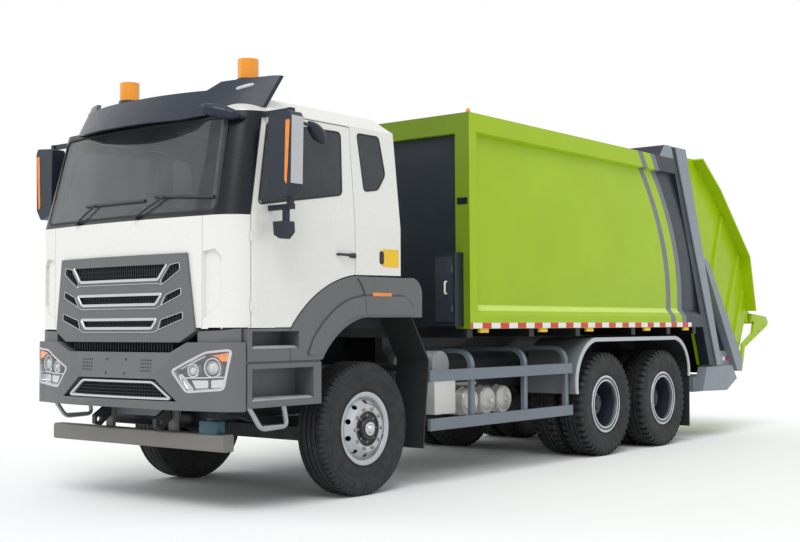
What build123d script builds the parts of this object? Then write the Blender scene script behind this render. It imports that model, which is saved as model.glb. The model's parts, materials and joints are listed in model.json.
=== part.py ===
from build123d import *
from math import sin, cos, radians, tan, hypot, copysign
import os

os.makedirs("parts", exist_ok=True)

# Driving sizes in millimetres; stations run from the front axle, forward positive
front_reach = 1700
wheelbase = 3950
bogie_spread = 1350
rear_overhang = 3350
half_width = 1250
standard_half = 1250
tyre_radius = 555
tyre_width = 300
rim_radius = 262
front_track_half = 1020
rear_outer_y = 1085
rear_inner_y = 745
kingpin_y = 900

rail_outer = 430
rail_inner = 345
rail_bottom = 760
rail_top = 1060
rail_wall = 10

cab_half = 1240
cab_wall = 60
cab_sill = 1400
panel_height = 840
screen_height = 810
roof_rise = 135
cab_rear = -450
cab_nose = 1650
screen_rake = 190
side_taper = 65
shut_gap = 8
tilt_pivot = (1450, 905)
cab_belt = cab_sill + panel_height
cab_gutter = cab_belt + screen_height
cab_roof = cab_gutter + roof_rise

body_front_x = -1380
body_post = 120
body_bottom = 1377
body_top = 3385
body_wall = 120
body_inner_half = standard_half - body_wall
tail_lean = 21
tail_top_z = 3480
tail_top_x = -5560
gate_plate_out = 1100
gate_plate_in = 1060

overall = front_reach + wheelbase + bogie_spread + rear_overhang
front_axle_x = overall / 2 - front_reach

# Stations are drawn for these spacings; what stands behind a cut in the frame moves with the set spacing
drawn_wheelbase = 3950
drawn_spread = 1350
axle_2 = -drawn_wheelbase
axle_3 = axle_2 - drawn_spread
wheelbase_cut = -2700
bogie_cut = (axle_2 + axle_3) / 2 - 250


def X(station):
    moved = front_axle_x + station
    if station < wheelbase_cut:
        moved -= wheelbase - drawn_wheelbase
    if station < bogie_cut:
        moved -= bogie_spread - drawn_spread
    return moved


# Places outboard of the frame rails are drawn for the standard width and move out with the set one
def across(y):
    if abs(y) <= rail_outer:
        return y
    return y + copysign(half_width - standard_half, y)


def side(y):
    return Plane.XZ.offset(-across(y))


def joint_x(z):
    return tail_top_x - (tail_top_z - z) * tan(radians(tail_lean))


# Closed outline of station and height points, seen from the left, as a face at one y
def side_face(y, points):
    with BuildSketch(side(y)) as face:
        with BuildLine():
            Polyline(*[(X(x), z) for x, z in points], close=True)
        make_face()
    return face.sketch


# Closed outline of y and height points as a face at one station
def front_face(station, points):
    with BuildSketch(Plane.YZ.offset(X(station))) as face:
        with BuildLine():
            Polyline(*[(across(y), z) for y, z in points], close=True)
        make_face()
    return face.sketch


def plate(points, y_out, y_in):
    with BuildPart() as solid:
        extrude(side_face(y_out, points), amount=across(y_out) - across(y_in))
    return solid.part


# Window cut or pane with rounded corners, seen from the left
def pane(points, radius, y_out, y_in):
    with BuildPart() as solid:
        with BuildSketch(side(y_out)) as face:
            with BuildLine():
                Polyline(*[(X(x), z) for x, z in points], close=True)
            make_face()
            fillet(face.vertices(), radius)
        extrude(amount=across(y_out) - across(y_in))
    return solid.part


def block(x0, x1, y0, y1, z0, z1):
    with BuildPart() as solid:
        with Locations((X(min(x0, x1)), across(min(y0, y1)), min(z0, z1))):
            Box(X(max(x0, x1)) - X(min(x0, x1)), across(max(y0, y1)) - across(min(y0, y1)), abs(z1 - z0), align=(Align.MIN, Align.MIN, Align.MIN))
    return solid.part


def bar_y(station, z, radius, y0, y1):
    with BuildPart() as solid:
        with Locations(Location((X(station), across(min(y0, y1)), z), (-90, 0, 0))):
            Cylinder(radius, across(max(y0, y1)) - across(min(y0, y1)), align=(Align.CENTER, Align.CENTER, Align.MIN))
    return solid.part


def bar_z(station, y, radius, z0, z1):
    with BuildPart() as solid:
        with Locations((X(station), across(y), min(z0, z1))):
            Cylinder(radius, abs(z1 - z0), align=(Align.CENTER, Align.CENTER, Align.MIN))
    return solid.part


# Outline of a bent sheet: the path and the same path moved to its left by the thickness
def ribbon(path, thickness):
    moved = []
    for i, (x, z) in enumerate(path):
        dirs = []
        if i > 0:
            dirs.append((x - path[i - 1][0], z - path[i - 1][1]))
        if i < len(path) - 1:
            dirs.append((path[i + 1][0] - x, path[i + 1][1] - z))
        normals = [(-dz / hypot(dx, dz), dx / hypot(dx, dz)) for dx, dz in dirs]
        nx = sum(n[0] for n in normals) / len(normals)
        nz = sum(n[1] for n in normals) / len(normals)
        grow = thickness / (nx * nx + nz * nz)
        moved.append((x + nx * grow, z + nz * grow))
    return list(path) + moved[::-1]


# Chassis frame: two channel rails, cross members, tow lugs and cab tilt pins
rail_front = 1500
rail_rear = -6400
with BuildPart() as chassis_frame:
    rail_section = [(rail_outer, rail_bottom), (rail_outer, rail_top), (rail_inner, rail_top),
                    (rail_inner, rail_top - rail_wall), (rail_outer - rail_wall, rail_top - rail_wall),
                    (rail_outer - rail_wall, rail_bottom + rail_wall), (rail_inner, rail_bottom + rail_wall),
                    (rail_inner, rail_bottom)]
    extrude(front_face(rail_rear, rail_section), amount=X(rail_front) - X(rail_rear))
    add(plate([(1440, 765), (1500, 765), (1600, 700), (1600, 630), (1540, 610), (1440, 690)], 395, 355))
    add(bar_y(1555, 665, 25, 340, 410), mode=Mode.SUBTRACT)
    add(bar_y(tilt_pivot[0], tilt_pivot[1], 30, rail_outer, 490))
    mirror(about=Plane.XZ)
    for station in (1425, -1400, -2600, -3500, -4625, -5800, -6340):
        add(block(station - 40, station + 40, -rail_outer + rail_wall, rail_outer - rail_wall, 880, 1040))
chassis_frame.part.label = "chassis_frame"
export_step(chassis_frame.part, "parts/chassis_frame.step")

# Front axle: dropped beam with kingpin eyes, two leaf packs and their hangers
leaf_width = 80
with BuildPart() as front_axle:
    extrude(front_face(-55, [(-880, 500), (-690, 500), (-510, 420), (510, 420), (690, 500), (880, 500), (880, 610),
                             (690, 610), (510, 540), (-510, 540), (-690, 610), (-880, 610)]), amount=110)
    for y in (-kingpin_y, kingpin_y):
        add(bar_z(0, y, 58, 500, 610))
        add(bar_z(0, y, 25.3, 490, 620), mode=Mode.SUBTRACT)
    for y in (348, -348 - leaf_width):
        with BuildSketch(side(y + leaf_width)):
            with BuildLine():
                low = ThreePointArc((X(800), 690), (X(0), 540), (X(-800), 690))
                high = ThreePointArc((X(800), 725), (X(0), 630), (X(-800), 725))
                Line(low @ 0, high @ 0)
                Line(low @ 1, high @ 1)
            make_face()
        extrude(amount=leaf_width)
        for station in (770, -770):
            add(block(station - 35, station + 35, y, y + leaf_width, 700, rail_bottom))
front_axle.part.label = "front_axle"
export_step(front_axle.part, "parts/front_axle.step")

# Rear axles: two housings with differentials, shafts, and the tandem leaf packs
tandem_leaf_y = 465
tandem_leaf_width = 90
with BuildPart() as rear_axles:
    for station in (axle_2, axle_3):
        add(bar_y(station, tyre_radius, 85, -640, 640))
        add(bar_y(station, tyre_radius, 60, -1120, 1120))
        with Locations(Location((X(station) - 150, 0, tyre_radius), (0, 90, 0))):
            Cylinder(215, 300, align=(Align.CENTER, Align.CENTER, Align.MIN))
        add(block(station - 60, station + 60, -560, 560, 600, 680))
    with Locations(Location((X(-1165), 0, 800), (0, -94.5, 0))):
        Cylinder(55, wheelbase - 1165 - 130, align=(Align.CENTER, Align.CENTER, Align.MIN))
    with Locations(Location((X(axle_2), 0, 560), (0, -90, 0))):
        Cylinder(55, bogie_spread, align=(Align.CENTER, Align.CENTER, Align.MIN))
    middle = (axle_2 + axle_3) / 2
    for y in (tandem_leaf_y, -tandem_leaf_y - tandem_leaf_width):
        with BuildSketch(side(y + tandem_leaf_width)):
            with BuildLine():
                low = ThreePointArc((X(axle_2 + 70), 680), (X(middle), 660), (X(axle_3 - 70), 680))
                Polyline(low @ 1, (X(axle_3 - 70), 710), (X(middle - 200), 800), (X(middle + 200), 800),
                         (X(axle_2 + 70), 710), low @ 0)
            make_face()
        extrude(amount=tandem_leaf_width)
    for flip in (1, -1):
        add(block(middle - 170, middle + 170, flip * rail_outer, flip * (tandem_leaf_y + tandem_leaf_width), 795, 900))
rear_axles.part.label = "rear_axles"
export_step(rear_axles.part, "parts/rear_axles.step")

# Engine, gearbox and radiator
with BuildPart() as engine:
    add(block(900, -350, -330, 330, 640, 1390))
    add(block(-350, -1150, -230, 230, 640, 1000))
    add(block(1180, 1290, -400, 400, rail_top, 1330))
    add(block(900, 1180, -90, 90, 1100, 1200))
engine.part.label = "engine"
export_step(engine.part, "parts/engine.step")

# Fuel tank on the right, store box and drum on the left
with BuildPart() as chassis_tanks:
    add(block(-900, -2250, -1120, -480, 490, 1040))
    fillet(chassis_tanks.edges().filter_by(Axis.X), 110)
    for station in (-1200, -1950):
        add(block(station - 40, station + 40, -520, -rail_outer, 780, 900))
    add(block(-1080, -1400, 700, 1060, 600, 915))
    add(block(-1200, -1280, rail_outer, 700, 790, 900))
    add(bar_y(-1240, 1045, 130, 560, 1010))
chassis_tanks.part.label = "chassis_tanks"
export_step(chassis_tanks.part, "parts/chassis_tanks.step")

# Three air tanks across the left rail on one hanger
with BuildPart() as air_tank:
    with BuildSketch(Plane.XY):
        with BuildLine():
            Line((0, across(480)), (0, across(1060)))
            Line((0, across(480)), (95, across(490)))
            ThreePointArc((95, across(490)), (120, across(500)), (130, across(525)))
            Line((130, across(525)), (130, across(1015)))
            ThreePointArc((130, across(1015)), (120, across(1040)), (95, across(1050)))
            Line((95, across(1050)), (0, across(1060)))
        make_face()
    revolve(axis=Axis.Y)
with BuildPart() as air_tanks:
    for station in (-1680, -1965, -2250):
        with Locations((X(station), 0, 690)):
            add(air_tank.part)
    add(block(-1600, -2340, rail_outer, 640, 800, 845))
air_tanks.part.label = "air_tanks"
export_step(air_tanks.part, "parts/air_tanks.step")

# Side guards: two rails each side on three hooped posts that bend in to the frame
hoop_width = 60
with BuildPart() as side_guards:
    for z0, z1 in ((910, 1013), (480, 583)):
        add(block(-800, -3240, 1190, 1225, z0, z1))
    for station in (-1500, -2400, -3180):
        with BuildSketch(Plane.YZ.offset(X(station - hoop_width / 2))):
            with BuildLine():
                Polyline((across(rail_outer), 1150), (across(rail_outer), 1190), (across(1030), 1190))
                ThreePointArc((across(1030), 1190), (across(1143), 1143), (across(1190), 1030))
                Polyline((across(1190), 1030), (across(1190), 480), (across(1150), 480), (across(1150), 1030))
                ThreePointArc((across(1150), 1030), (across(1115), 1115), (across(1030), 1150))
                Line((across(1030), 1150), (across(rail_outer), 1150))
            make_face()
        extrude(amount=hoop_width)
    mirror(about=Plane.XZ)
side_guards.part.label = "side_guards"
export_step(side_guards.part, "parts/side_guards.step")

# Mudguards over the bogie with rear flaps, and the flaps behind the front wheels
guard_front, guard_rear, guard_top = -3290, -5970, 1272
guard_sheet = 14
guard_lip = 42


# Arched strip over the two rear wheels, as thick as given
def guard_arch(y_out, y_in, t):
    with BuildPart() as solid:
        with BuildSketch(side(y_out)):
            with BuildLine():
                ThreePointArc((X(guard_front), 690), (X(guard_front - 110), 1110), (X(guard_front - 400), guard_top))
                Line((X(guard_front - 400), guard_top), (X(guard_rear + 380), guard_top))
                ThreePointArc((X(guard_rear + 380), guard_top), (X(guard_rear + 95), 1120), (X(guard_rear), 790))
                Line((X(guard_rear), 790), (X(guard_rear + t), 790))
                ThreePointArc((X(guard_rear + t), 790), (X(guard_rear + 95 + t * 0.8), 1120 - t * 0.6),
                              (X(guard_rear + 380), guard_top - t))
                Line((X(guard_rear + 380), guard_top - t), (X(guard_front - 400), guard_top - t))
                ThreePointArc((X(guard_front - 400), guard_top - t), (X(guard_front - 110 - t * 0.8), 1110 - t * 0.6),
                              (X(guard_front - t), 690))
                Line((X(guard_front - t), 690), (X(guard_front), 690))
            make_face()
        extrude(amount=across(y_out) - across(y_in))
    return solid.part


with BuildPart() as mudguards:
    add(guard_arch(1245, 590, guard_sheet))
    add(guard_arch(1245, 1231, guard_lip))
    add(plate([(-5958, 187), (-5970, 187), (-5984, 800), (-5970, 800)], 1230, 620))
    add(block(-4585, -4665, rail_outer, 640, 1130, 1180))
    add(block(-4585, -4665, 600, 640, 1130, 1280))
    add(plate(ribbon([(-560, 1480), (-800, 1105), (-715, 335)], 14), 1215, 860))
    add(block(-780, -850, rail_outer, 1000, 1000, 1055))
    mirror(about=Plane.XZ)
mudguards.part.label = "mudguards"
export_step(mudguards.part, "parts/mudguards.step")

# Region under the cab's lower edge, where the wheel housings sit
def under_cab(drop):
    with BuildPart() as solid:
        with BuildSketch(side(1500)):
            with BuildLine():
                ThreePointArc((X(990), cab_sill - drop), (X(640), 1695 - drop), (X(236), 1825 - drop))
                Polyline((X(236), 1825 - drop), (X(-900), 1840 - drop), (X(-900), 300), (X(1600), 300),
                         (X(1600), cab_sill - drop), (X(990), cab_sill - drop))
            make_face()
        extrude(amount=2 * across(1500))
    return solid.part


# Front wheel housings with the entry steps below the doors
fender_sheet = 30
liner_width = 355
with BuildPart() as fender_steps:
    with BuildSketch(side(1245)):
        with BuildLine():
            ThreePointArc((X(990), 1380), (X(640), 1685), (X(236), 1815))
            Line((X(236), 1815), (X(-480), 1815))
            ThreePointArc((X(-480), 1815), (X(-612), 1785), (X(-662), 1690))
            Polyline((X(-662), 1690), (X(-660), 1480), (X(100), 1480))
            ThreePointArc((X(100), 1480), (X(430), 1350), (X(640), 1130))
            Polyline((X(640), 1130), (X(990), 1130), (X(990), 1380))
        make_face()
    extrude(amount=fender_sheet)
    with BuildSketch(side(1215)):
        with BuildLine():
            ThreePointArc((X(640), 1130), (X(430), 1350), (X(100), 1480))
            Polyline((X(100), 1480), (X(-660), 1480), (X(-660), 1502), (X(105), 1502))
            ThreePointArc((X(105), 1502), (X(445), 1367), (X(660), 1140))
            Line((X(660), 1140), (X(640), 1130))
        make_face()
    extrude(amount=liner_width)
    add(block(640, 1450, 960, 1240, 800, 1130))
    add(plate([(640, 1130), (1450, 1130), (1450, 1390), (990, 1390), (800, 1390)], 1240, 960))
    add(under_cab(10), mode=Mode.INTERSECT)
    add(block(730, 1400, 1040, 1300, 850, 1090), mode=Mode.SUBTRACT)
    add(block(900, 1400, 1050, 1300, 1240, 1370), mode=Mode.SUBTRACT)
    add(block(600, 1500, 1225, 1300, 1128, 1146), mode=Mode.SUBTRACT)
    add(block(1000, 1060, rail_outer, 960, 860, 920))
    mirror(about=Plane.XZ)
fender_steps.part.label = "fender_steps"
export_step(fender_steps.part, "parts/fender_steps.step")


# Cab plan outline at one height, drawn in by an inset
def cab_plan(z, i, front, half, rear):
    r = 256 - i
    cx, cy = front - 320, half - 256
    lean = r * cos(radians(45))
    with BuildSketch(Plane.XY.offset(z)) as outline:
        with BuildLine():
            ThreePointArc((X(cx), across(cy + r)), (X(cx + lean), across(cy + lean)), (X(cx + r), across(cy)))
            ThreePointArc((X(cx + r), across(cy)), (X(front - i), 0), (X(cx + r), across(-cy)))
            ThreePointArc((X(cx + r), across(-cy)), (X(cx + lean), across(-cy - lean)), (X(cx), across(-cy - r)))
            Polyline((X(cx), across(-cy - r)), (X(rear + i + 80), across(-cy - r)), (X(rear + i), across(-cy - r + 80)),
                     (X(rear + i), across(cy + r - 80)), (X(rear + i + 80), across(cy + r)), (X(cx), across(cy + r)))
        make_face()
    return outline.sketch


# Bumper envelope, drawn in by an inset for its hollow back
def bumper_form(i):
    with BuildPart() as solid:
        extrude(side_face(1300, [(1300, 780 + i), (1680 - i, 780 + i), (1700 - i, 850), (1690 - i, 1000),
                                 (1650 - i, 1290 - i), (1300, 1290 - i)]), amount=2 * across(1300))
        with BuildSketch(Plane.XY.offset(700)):
            with BuildLine():
                ThreePointArc((X(1640 - i), across(-850)), (X(1700 - i), 0), (X(1640 - i), across(850)))
                Line((X(1640 - i), across(850)), (X(1590 - i), across(1060)))
                ThreePointArc((X(1590 - i), across(1060)), (X(1555 - i), across(1180 - i)), (X(1470), across(1245 - i)))
                Polyline((X(1470), across(1245 - i)), (X(1300), across(1245 - i)), (X(1300), across(i - 1245)), (X(1470), across(i - 1245)))
                ThreePointArc((X(1470), across(i - 1245)), (X(1555 - i), across(i - 1180)), (X(1590 - i), across(-1060)))
                Line((X(1590 - i), across(-1060)), (X(1640 - i), across(-850)))
            make_face()
        extrude(amount=700, mode=Mode.INTERSECT)
    return solid.part


# Shoulder between bumper and cab corner, kept inside the swing of the cab's lower edge
shoulder_low = 1285
shoulder_inner = 865
shoulder_back = 1470
shoulder_gap = 8
with BuildPart() as shoulder:
    extrude(cab_plan(shoulder_low, 0, cab_nose, cab_half, cab_rear), amount=cab_sill - shoulder_low)
    extrude(cab_plan(shoulder_low, cab_wall, cab_nose, cab_half, cab_rear), amount=cab_sill - shoulder_low, mode=Mode.SUBTRACT)
    add(block(-600, shoulder_back, -1400, 1400, 1200, 1500), mode=Mode.SUBTRACT)
    add(block(1000, 1800, -shoulder_inner, shoulder_inner, 1200, 1500), mode=Mode.SUBTRACT)
    add(bar_y(tilt_pivot[0], tilt_pivot[1], cab_sill - tilt_pivot[1] - shoulder_gap, -1400, 1400), mode=Mode.INTERSECT)

lamp_outline = [(645, 1076), (968, 1216), (1180, 1235), (1126, 944), (790, 919)]
with BuildPart() as front_bumper:
    add(bumper_form(0))
    add(bumper_form(70), mode=Mode.SUBTRACT)
    add(block(1200, shoulder_back, -1300, 1300, 700, 1400), mode=Mode.SUBTRACT)
    add(shoulder.part)
    add(block(1200, 1510, -520, 520, 700, 1400), mode=Mode.SUBTRACT)
    extrude(front_face(1200, [(-620, 1212), (-820, 1300), (-820, 1400), (820, 1400), (820, 1300), (620, 1212)]),
            amount=600, mode=Mode.SUBTRACT)
    extrude(front_face(1200, [(-470, 1010), (-700, 845), (700, 845), (470, 1010)]), amount=600, mode=Mode.SUBTRACT)
    for flip in (1, -1):
        extrude(front_face(1200, [(y * flip, z) for y, z in lamp_outline]), amount=600, mode=Mode.SUBTRACT)
    for y in (345, -430):
        add(block(rail_front, 1640, y, y + 85, 1015, 1055))
front_bumper.part.label = "front_bumper"
export_step(front_bumper.part, "parts/front_bumper.step")

with BuildPart() as headlamps:
    for flip in (1, -1):
        extrude(front_face(1300, [(y * flip, z) for y, z in lamp_outline]), amount=500)
    add(bumper_form(0), mode=Mode.INTERSECT)
    add(bumper_form(60), mode=Mode.SUBTRACT)
    add(block(1200, 1480, -1300, 1300, 700, 1400), mode=Mode.SUBTRACT)
headlamps.part.label = "headlamps"
export_step(headlamps.part, "parts/headlamps.step")

with BuildPart() as underrun_bar:
    add(block(1395, 1505, -1040, 1040, 470, 600))
    fillet(underrun_bar.edges().filter_by(Axis.Y), 20)
    for y in (345, -430):
        add(block(1400, 1432, y, y + 85, 590, rail_bottom))
underrun_bar.part.label = "underrun_bar"
export_step(underrun_bar.part, "parts/underrun_bar.step")

# Drain tank across the tail with its outer end plates
end_plate = [(-6440, 880), (-7190, 884), (-7340, 712), (-7020, 571), (-6310, 590)]
with BuildPart() as rear_tank:
    add(block(-6300, -7150, -body_inner_half, body_inner_half, 575, rail_bottom))
    add(plate(end_plate, standard_half, body_inner_half))
    add(plate(end_plate, -body_inner_half, -standard_half))
rear_tank.part.label = "rear_tank"
export_step(rear_tank.part, "parts/rear_tank.step")


# Everything behind the leaning joint face, used to trim the body
def behind_joint(offset):
    return plate([(joint_x(4200) + offset, 4200), (joint_x(600) + offset, 600), (-9000, 600), (-9000, 4200)], 1500, -1500)


body_start = body_front_x - body_post
body_cut_rear = -6800
with BuildPart() as body_floor:
    add(block(body_start, body_cut_rear, -body_inner_half, body_inner_half, body_bottom, body_bottom + 50))
    for y in (rail_inner, -rail_outer):
        add(block(-1100, -6380, y, y + 85, rail_top, 1300))
    for station in (-1440, -2500, -3400, -4625, -5500, -6200):
        add(block(station - 45, station + 45, -1200, 1200, 1295, body_bottom))
    add(behind_joint(0), mode=Mode.SUBTRACT)
body_floor.part.label = "body_floor"
export_step(body_floor.part, "parts/body_floor.step")

with BuildPart() as body_sides:
    with BuildSketch(Plane.YZ.offset(X(body_cut_rear))):
        with BuildLine():
            Polyline((across(1190), 1587), (half_width, 1503), (half_width, body_bottom), (across(body_inner_half), body_bottom),
                     (across(body_inner_half), body_top), (half_width, body_top), (half_width, 3210), (across(1185), 3195))
            ThreePointArc((across(1185), 3195), (across(1225), 2400), (across(1190), 1587))
        make_face()
    extrude(amount=X(body_start) - X(body_cut_rear))
    add(behind_joint(0), mode=Mode.SUBTRACT)
    mirror(about=Plane.XZ)
body_sides.part.label = "body_sides"
export_step(body_sides.part, "parts/body_sides.step")

with BuildPart() as body_roof:
    add(block(body_start, body_cut_rear, -body_inner_half, body_inner_half, body_top - 55, body_top))
    add(behind_joint(0), mode=Mode.SUBTRACT)
body_roof.part.label = "body_roof"
export_step(body_roof.part, "parts/body_roof.step")

with BuildPart() as body_front:
    add(block(body_front_x, body_start, -standard_half, standard_half, body_bottom, body_top))
    add(block(body_front_x - 60, 0, -1090, 1090, body_bottom + 125, body_top - 185), mode=Mode.SUBTRACT)
    add(block(-1240, body_front_x, 760, 1180, 1400, 2080))
body_front.part.label = "body_front"
export_step(body_front.part, "parts/body_front.step")

# Rear frame: leaning posts outside the gate, a header beam, gate pins and the cylinder feet
gate_hinge = (joint_x(3450) - 80, 3450)
lift_foot = (-6720, 1200)
lift_eye = (-6150, 2950)
post_width = 200
lift_y = 1165
with BuildPart() as rear_frame:
    add(plate([(joint_x(3530), 3530), (joint_x(900), 900), (joint_x(900) - post_width, 900),
               (joint_x(3530) - post_width, 3530)], 1235, 1105))
    add(plate([(joint_x(3530) - 110, 3530), (joint_x(900) - 190, 900), (joint_x(900) - 330, 900),
               (joint_x(3530) - 390, 3530)], standard_half, 1213))
    add(bar_y(gate_hinge[0], gate_hinge[1], 35, 1045, 1110))
    add(plate([(joint_x(1300) - 150, 1300), (lift_foot[0], 1255), (lift_foot[0] - 55, 1200), (lift_foot[0], 1145),
               (joint_x(1100) - 150, 1100)], 1118, 1105))
    add(bar_y(lift_foot[0], lift_foot[1], 25, 1110, 1210))
    mirror(about=Plane.XZ)
    add(plate([(joint_x(body_top), body_top), (joint_x(3530), 3530), (joint_x(3530) + 150, 3530),
               (joint_x(body_top) + 330, body_top)], standard_half, -standard_half))
rear_frame.part.label = "rear_frame"
export_step(rear_frame.part, "parts/rear_frame.step")


# Cab envelope in three storeys; the inset ones are open below
def cab_form(i):
    low = cab_sill if i == 0 else 1200
    belt = cab_plan(cab_belt, i, cab_nose, cab_half, cab_rear)
    gutter = cab_plan(cab_gutter + 10 - i / 3, i, cab_nose - screen_rake, cab_half - side_taper, cab_rear + 20)
    crown = cab_plan(cab_roof - i, i, cab_nose - screen_rake - 150, cab_half - side_taper - 150, cab_rear + 120)
    with BuildPart() as solid:
        extrude(cab_plan(low, i, cab_nose, cab_half, cab_rear), amount=cab_belt - low)
        loft([belt.face(), gutter.face()], ruled=True)
        loft([gutter.face(), crown.face()], ruled=True)
    return solid.part


cab_outer = cab_form(0)
cab_core = cab_form(cab_wall)
glass_core = cab_form(10)
with BuildPart() as cab_skin:
    add(cab_outer)
    add(cab_core, mode=Mode.SUBTRACT)
    add(under_cab(0), mode=Mode.SUBTRACT)

door_front = 1400
door_rear = 230
hinge_x = 1404
hinge_y = 1234
hinge_radius = 9
hinge_heights = (1560, 2080)
door_lean = screen_rake * screen_height / (screen_height + 10)
door_outline = [(door_rear, 1000), (door_front, 1000), (door_front, cab_belt),
                (door_front - door_lean, cab_gutter - shut_gap), (door_rear, cab_gutter - shut_gap)]


# Height of a share of the screen above the belt line
def glazed(share):
    return cab_belt + share * screen_height


door_window = [(1185, glazed(0.898)), (1330, glazed(0.105)), (370, glazed(0.285)), (340, glazed(0.922))]
quarter_window = [(130, glazed(0.943)), (-150, glazed(0.947)), (-205, glazed(0.551)), (-95, glazed(0.384)), (84, glazed(0.352))]
screen_window = [(-1035, glazed(0.045)), (1035, glazed(0.045)), (995, glazed(0.945)), (-995, glazed(0.945))]
pane_corner = 45
screen_corner = 70
grille_outline = [(-770, 1965), (-853, 1375), (-700, 1290), (700, 1290), (853, 1375), (770, 1965)]


# Windscreen opening with rounded corners, as a long cutter
def screen_cut():
    with BuildPart() as solid:
        with BuildSketch(Plane.YZ.offset(X(900))) as face:
            with BuildLine():
                Polyline(*[(across(y), z) for y, z in screen_window], close=True)
            make_face()
            fillet(face.vertices(), screen_corner)
        extrude(amount=900)
    return solid.part


with BuildPart() as cab_roof_panel:
    add(cab_skin.part)
    add(block(-600, 1700, -1300, 1300, 1000, cab_gutter), mode=Mode.SUBTRACT)
cab_roof_panel.part.label = "cab_roof"
export_step(cab_roof_panel.part, "parts/cab_roof.step")

with BuildPart() as cab_rear_panels:
    add(cab_skin.part)
    add(block(-600, door_rear - shut_gap, -1300, 1300, 1000, cab_gutter), mode=Mode.INTERSECT)
    add(pane(quarter_window, pane_corner, 1400, -1400), mode=Mode.SUBTRACT)
cab_rear_panels.part.label = "cab_rear_panels"
export_step(cab_rear_panels.part, "parts/cab_rear_panels.step")

# Seams beside the corner panels, and the scoops pressed into them
seam_y = 905
seam_width = 5
scoop_outline = [(918, 1470), (1024, 1515), (1090, 1595), (1084, 1927), (1030, 1988), (918, 1972)]
with BuildPart() as seam_cut:
    for y in (seam_y, -seam_y - seam_width):
        add(block(1400, 1700, y, y + seam_width, 1000, cab_belt))
    add(cab_form(12), mode=Mode.SUBTRACT)
with BuildPart() as scoop_cut:
    for flip in (1, -1):
        extrude(front_face(1400, [(y * flip, z) for y, z in scoop_outline]), amount=300)
    add(cab_form(24), mode=Mode.SUBTRACT)

with BuildPart() as cab_front_panel:
    add(cab_skin.part)
    add(block(door_front + shut_gap, 1800, -1300, 1300, 1000, cab_belt), mode=Mode.INTERSECT)
    extrude(front_face(1200, grille_outline), amount=600, mode=Mode.SUBTRACT)
    add(seam_cut.part, mode=Mode.SUBTRACT)
    add(scoop_cut.part, mode=Mode.SUBTRACT)
    for z in hinge_heights:
        for y in (-hinge_y, hinge_y):
            add(bar_z(hinge_x, y, hinge_radius + 3, z - 43, z + 43), mode=Mode.SUBTRACT)
cab_front_panel.part.label = "cab_front_panel"
export_step(cab_front_panel.part, "parts/cab_front_panel.step")

with BuildPart() as windscreen_frame:
    add(cab_skin.part)
    add(plate([(door_front + shut_gap, cab_belt), (door_front + shut_gap - door_lean, cab_gutter), (1900, cab_gutter),
               (1900, cab_belt)], 1300, -1300), mode=Mode.INTERSECT)
    add(screen_cut(), mode=Mode.SUBTRACT)
windscreen_frame.part.label = "windscreen_frame"
export_step(windscreen_frame.part, "parts/windscreen_frame.step")

with BuildPart() as screen_glass:
    add(screen_cut())
    add(cab_outer, mode=Mode.INTERSECT)
    add(glass_core, mode=Mode.SUBTRACT)
with BuildPart() as quarter_glass:
    add(pane(quarter_window, pane_corner, 1400, -1400))
    add(cab_outer, mode=Mode.INTERSECT)
    add(glass_core, mode=Mode.SUBTRACT)
with BuildPart() as cab_glass:
    add(screen_glass.part)
    add(quarter_glass.part)
cab_glass.part.label = "cab_glass"
export_step(cab_glass.part, "parts/cab_glass.step")

floor_sheet = 50
with BuildPart() as cab_floor:
    floor_path = [(1520, 1402), (985, 1402), (860, 1560), (640, 1702), (440, 1790), (236, 1842), (-389, 1842)]
    add(plate(ribbon(floor_path, -floor_sheet), 1150, -1150))
    add(cab_core, mode=Mode.INTERSECT)
    for y in (440, -480):
        add(plate([(1000, 1402), (1100, 1402), (1505, 930), (1500, 870), (1450, 845), (1400, 875)], y + 40, y))
        add(bar_y(tilt_pivot[0], tilt_pivot[1], 30.3, y - 5, y + 45), mode=Mode.SUBTRACT)
cab_floor.part.label = "cab_floor"
export_step(cab_floor.part, "parts/cab_floor.step")

# Bowed slab that follows the nose, its front set back by an amount
def nose_slab(back, depth):
    with BuildPart() as solid:
        with BuildSketch(Plane.XY.offset(1100)):
            with BuildLine():
                ThreePointArc((X(1605 - back), across(984)), (X(1672 - back), 0), (X(1605 - back), across(-984)))
                Line((X(1605 - back), across(-984)), (X(1605 - back - depth), across(-984)))
                ThreePointArc((X(1605 - back - depth), across(-984)), (X(1672 - back - depth), 0), (X(1605 - back - depth), across(984)))
                Line((X(1605 - back - depth), across(984)), (X(1605 - back), across(984)))
            make_face()
        extrude(amount=1000)
    return solid.part


grille_depth = 70
pocket_depth = 32
grille_rows = [  # half the window at the top and bottom with their heights, then the side window's corners
    (576, 1885, 479, 1770, [(604, 1880), (702, 1893), (710, 1838), (522, 1728), (508, 1764)]),
    (519, 1658, 454, 1580, [(560, 1650), (718, 1703), (722, 1650), (508, 1568)]),
    (467, 1466, 412, 1397, [(508, 1462), (738, 1521), (741, 1467), (482, 1385)]),
]
with BuildPart() as grille_pockets:
    for top_half, top_z, low_half, low_z, wing in grille_rows:
        extrude(front_face(1400, [(-top_half, top_z), (top_half, top_z), (low_half, low_z), (-low_half, low_z)]), amount=400)
        for flip in (1, -1):
            extrude(front_face(1400, [(y * flip, z) for y, z in wing]), amount=400)
    add(nose_slab(-40, pocket_depth + 40), mode=Mode.INTERSECT)
with BuildPart() as grille:
    extrude(front_face(1300, grille_outline), amount=500)
    add(nose_slab(0, grille_depth), mode=Mode.INTERSECT)
    add(grille_pockets.part, mode=Mode.SUBTRACT)
grille.part.label = "grille"
export_step(grille.part, "parts/grille.step")

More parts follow.
